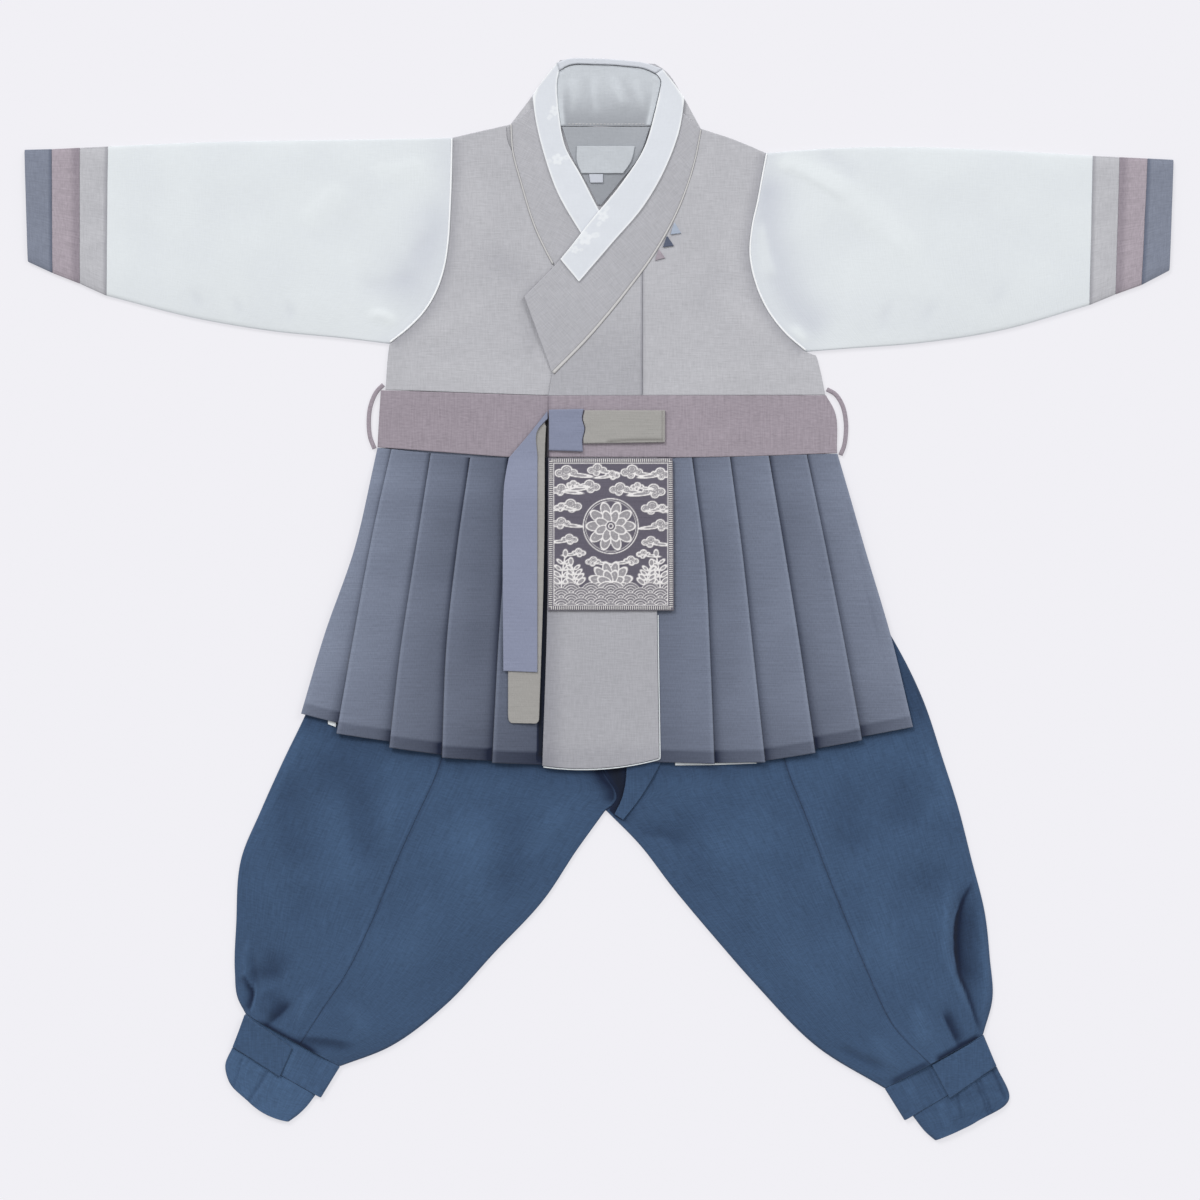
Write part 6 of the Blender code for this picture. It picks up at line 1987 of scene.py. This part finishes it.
@dataclass
class TrouserTop:
    """The hidden waistband of the trousers and the gusset that shows between the legs."""
    sides: XY = (-151, 160)  # x of the waistband's left and right side
    edges: XY = (75, 55.6)  # y of its top and foot

    def make(self, tailor: Tailor) -> None:
        """Sew the waistband as a plain tube and the gusset as a small layer."""
        left, right = (straight(*((x, y) for y in self.edges)) for x in self.sides)
        plan, _, _, down = tube_grid(*ends(left, right), left, right, COARSE)
        Tube("trouser_waistband", COTTON_BLUE, plan, down, np.full(plan.shape[:2], 2 * FOLD_HALF)
             ).make(tailor, "floor")
        quad_layer("crotch_gusset", COTTON_BLUE, (
            (21, -116, 50, -115), (20.5, -128, 43.5, -127), (19.5, -139, 37, -138.5),
            (17, -149, 29.5, -150), (11.6, -160.4, 18, -164.6)),
            lambda x, y: 3.5 - 0.6 * smoothstep(y, -131, -123), thick=TRIM, step=1.2, rim=0.4,
            relief=(Wobble(0.25, 12, 111),),
            # Painted shade towards its top, below the skirt's hem.
            tone=lambda x, y: 0.26 + 0.2 * smoothstep(y, -141, -124)).make(tailor, "trouser_inner_right")


@dataclass
class Studio:
    """A plain pale floor, soft light from above and a camera looking straight down."""
    floor_colour: str = "#F0EFF4"
    floor_half: float = 3  # half the board's side, in metres
    floor_below: float = 0.0003  # how far it lies below the table's level
    glow: float = 0.7  # share of the board's light that comes from within, as on a light table
    frame_width: float = 0.9  # metres that the view takes in
    centre_x: float = 0.00075
    lens: float = 100
    sensor: float = 36
    sky: float = 0.56
    suns: tuple[tuple[str, float, float, float], ...] = (
        # name, azimuth and elevation in degrees, and the share of a flat surface's light
        ("key", 122, 40, 0.30), ("fill", 38, 42, 0.16))
    softness: float = 22  # width of each light as seen from the cloth, in degrees

    def floor(self) -> None:
        """Lay a wide matt board just under the cloth."""
        corners = ((-1, -1), (1, -1), (1, 1), (-1, 1))
        mesh = bpy.data.meshes.new("floor")
        mesh.from_pydata([(x * self.floor_half, y * self.floor_half, -self.floor_below) for x, y in corners],
                         [], [(0, 1, 2, 3)])
        material = bpy.data.materials.new("Matt board lit from below")
        material.use_nodes = True
        inputs = material.node_tree.nodes["Principled BSDF"].inputs
        colour = linear(self.floor_colour)
        for name, value in (("Base Color", (*((1 - self.glow) * part for part in colour[:3]), 1)),
                            ("Emission Color", colour), ("Emission Strength", self.glow),
                            ("Roughness", 0.95), ("Specular IOR Level", 0.1)):
            inputs[name].default_value = value
        mesh.materials.append(material)
        placed("floor", mesh)

    def lights(self) -> None:
        """Fill from a white sky and add two broad lights beyond the neck end, left and right."""
        world = bpy.data.worlds.new("Studio")
        bpy.context.scene.world = world
        world.use_nodes = True
        inputs = world.node_tree.nodes["Background"].inputs
        inputs["Color"].default_value = (1, 1, 1, 1)
        inputs["Strength"].default_value = self.sky
        for name, azimuth, elevation, share in self.suns:
            light = bpy.data.lights.new(name, "SUN")
            light.angle = math.radians(self.softness)
            light.energy = share * math.pi / math.sin(math.radians(elevation))
            placed(name, light).rotation_euler = (math.radians(90 - elevation), 0, math.radians(azimuth + 90))

    def camera(self) -> None:
        """Look straight down, with the frame's width fitted at the table."""
        data = bpy.data.cameras.new("camera")
        data.lens = self.lens
        data.sensor_width = self.sensor
        eye = placed("camera", data)
        eye.location = (self.centre_x, 0, self.frame_width * self.lens / self.sensor)
        bpy.context.scene.camera = eye
        bpy.context.scene.view_settings.view_transform = "Standard"

    def make(self) -> None:
        """Set up the floor, the lights and the camera."""
        self.floor()
        self.lights()
        self.camera()


def main() -> None:
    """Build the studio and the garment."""
    logging.basicConfig(level=logging.INFO, format="%(name)s: %(message)s")
    Studio().make()
    tailor = Tailor()
    for part in (TrouserTop(), LEG_LEFT, LEG_RIGHT, ANKLE_LEFT, ANKLE_RIGHT, Skirt(), Bodice(), SLEEVE_LEFT,
                 SLEEVE_RIGHT, Collar(), Triangles(), Waist(), Badge()):
        part.make(tailor)


if __name__ == "__main__":
    main()
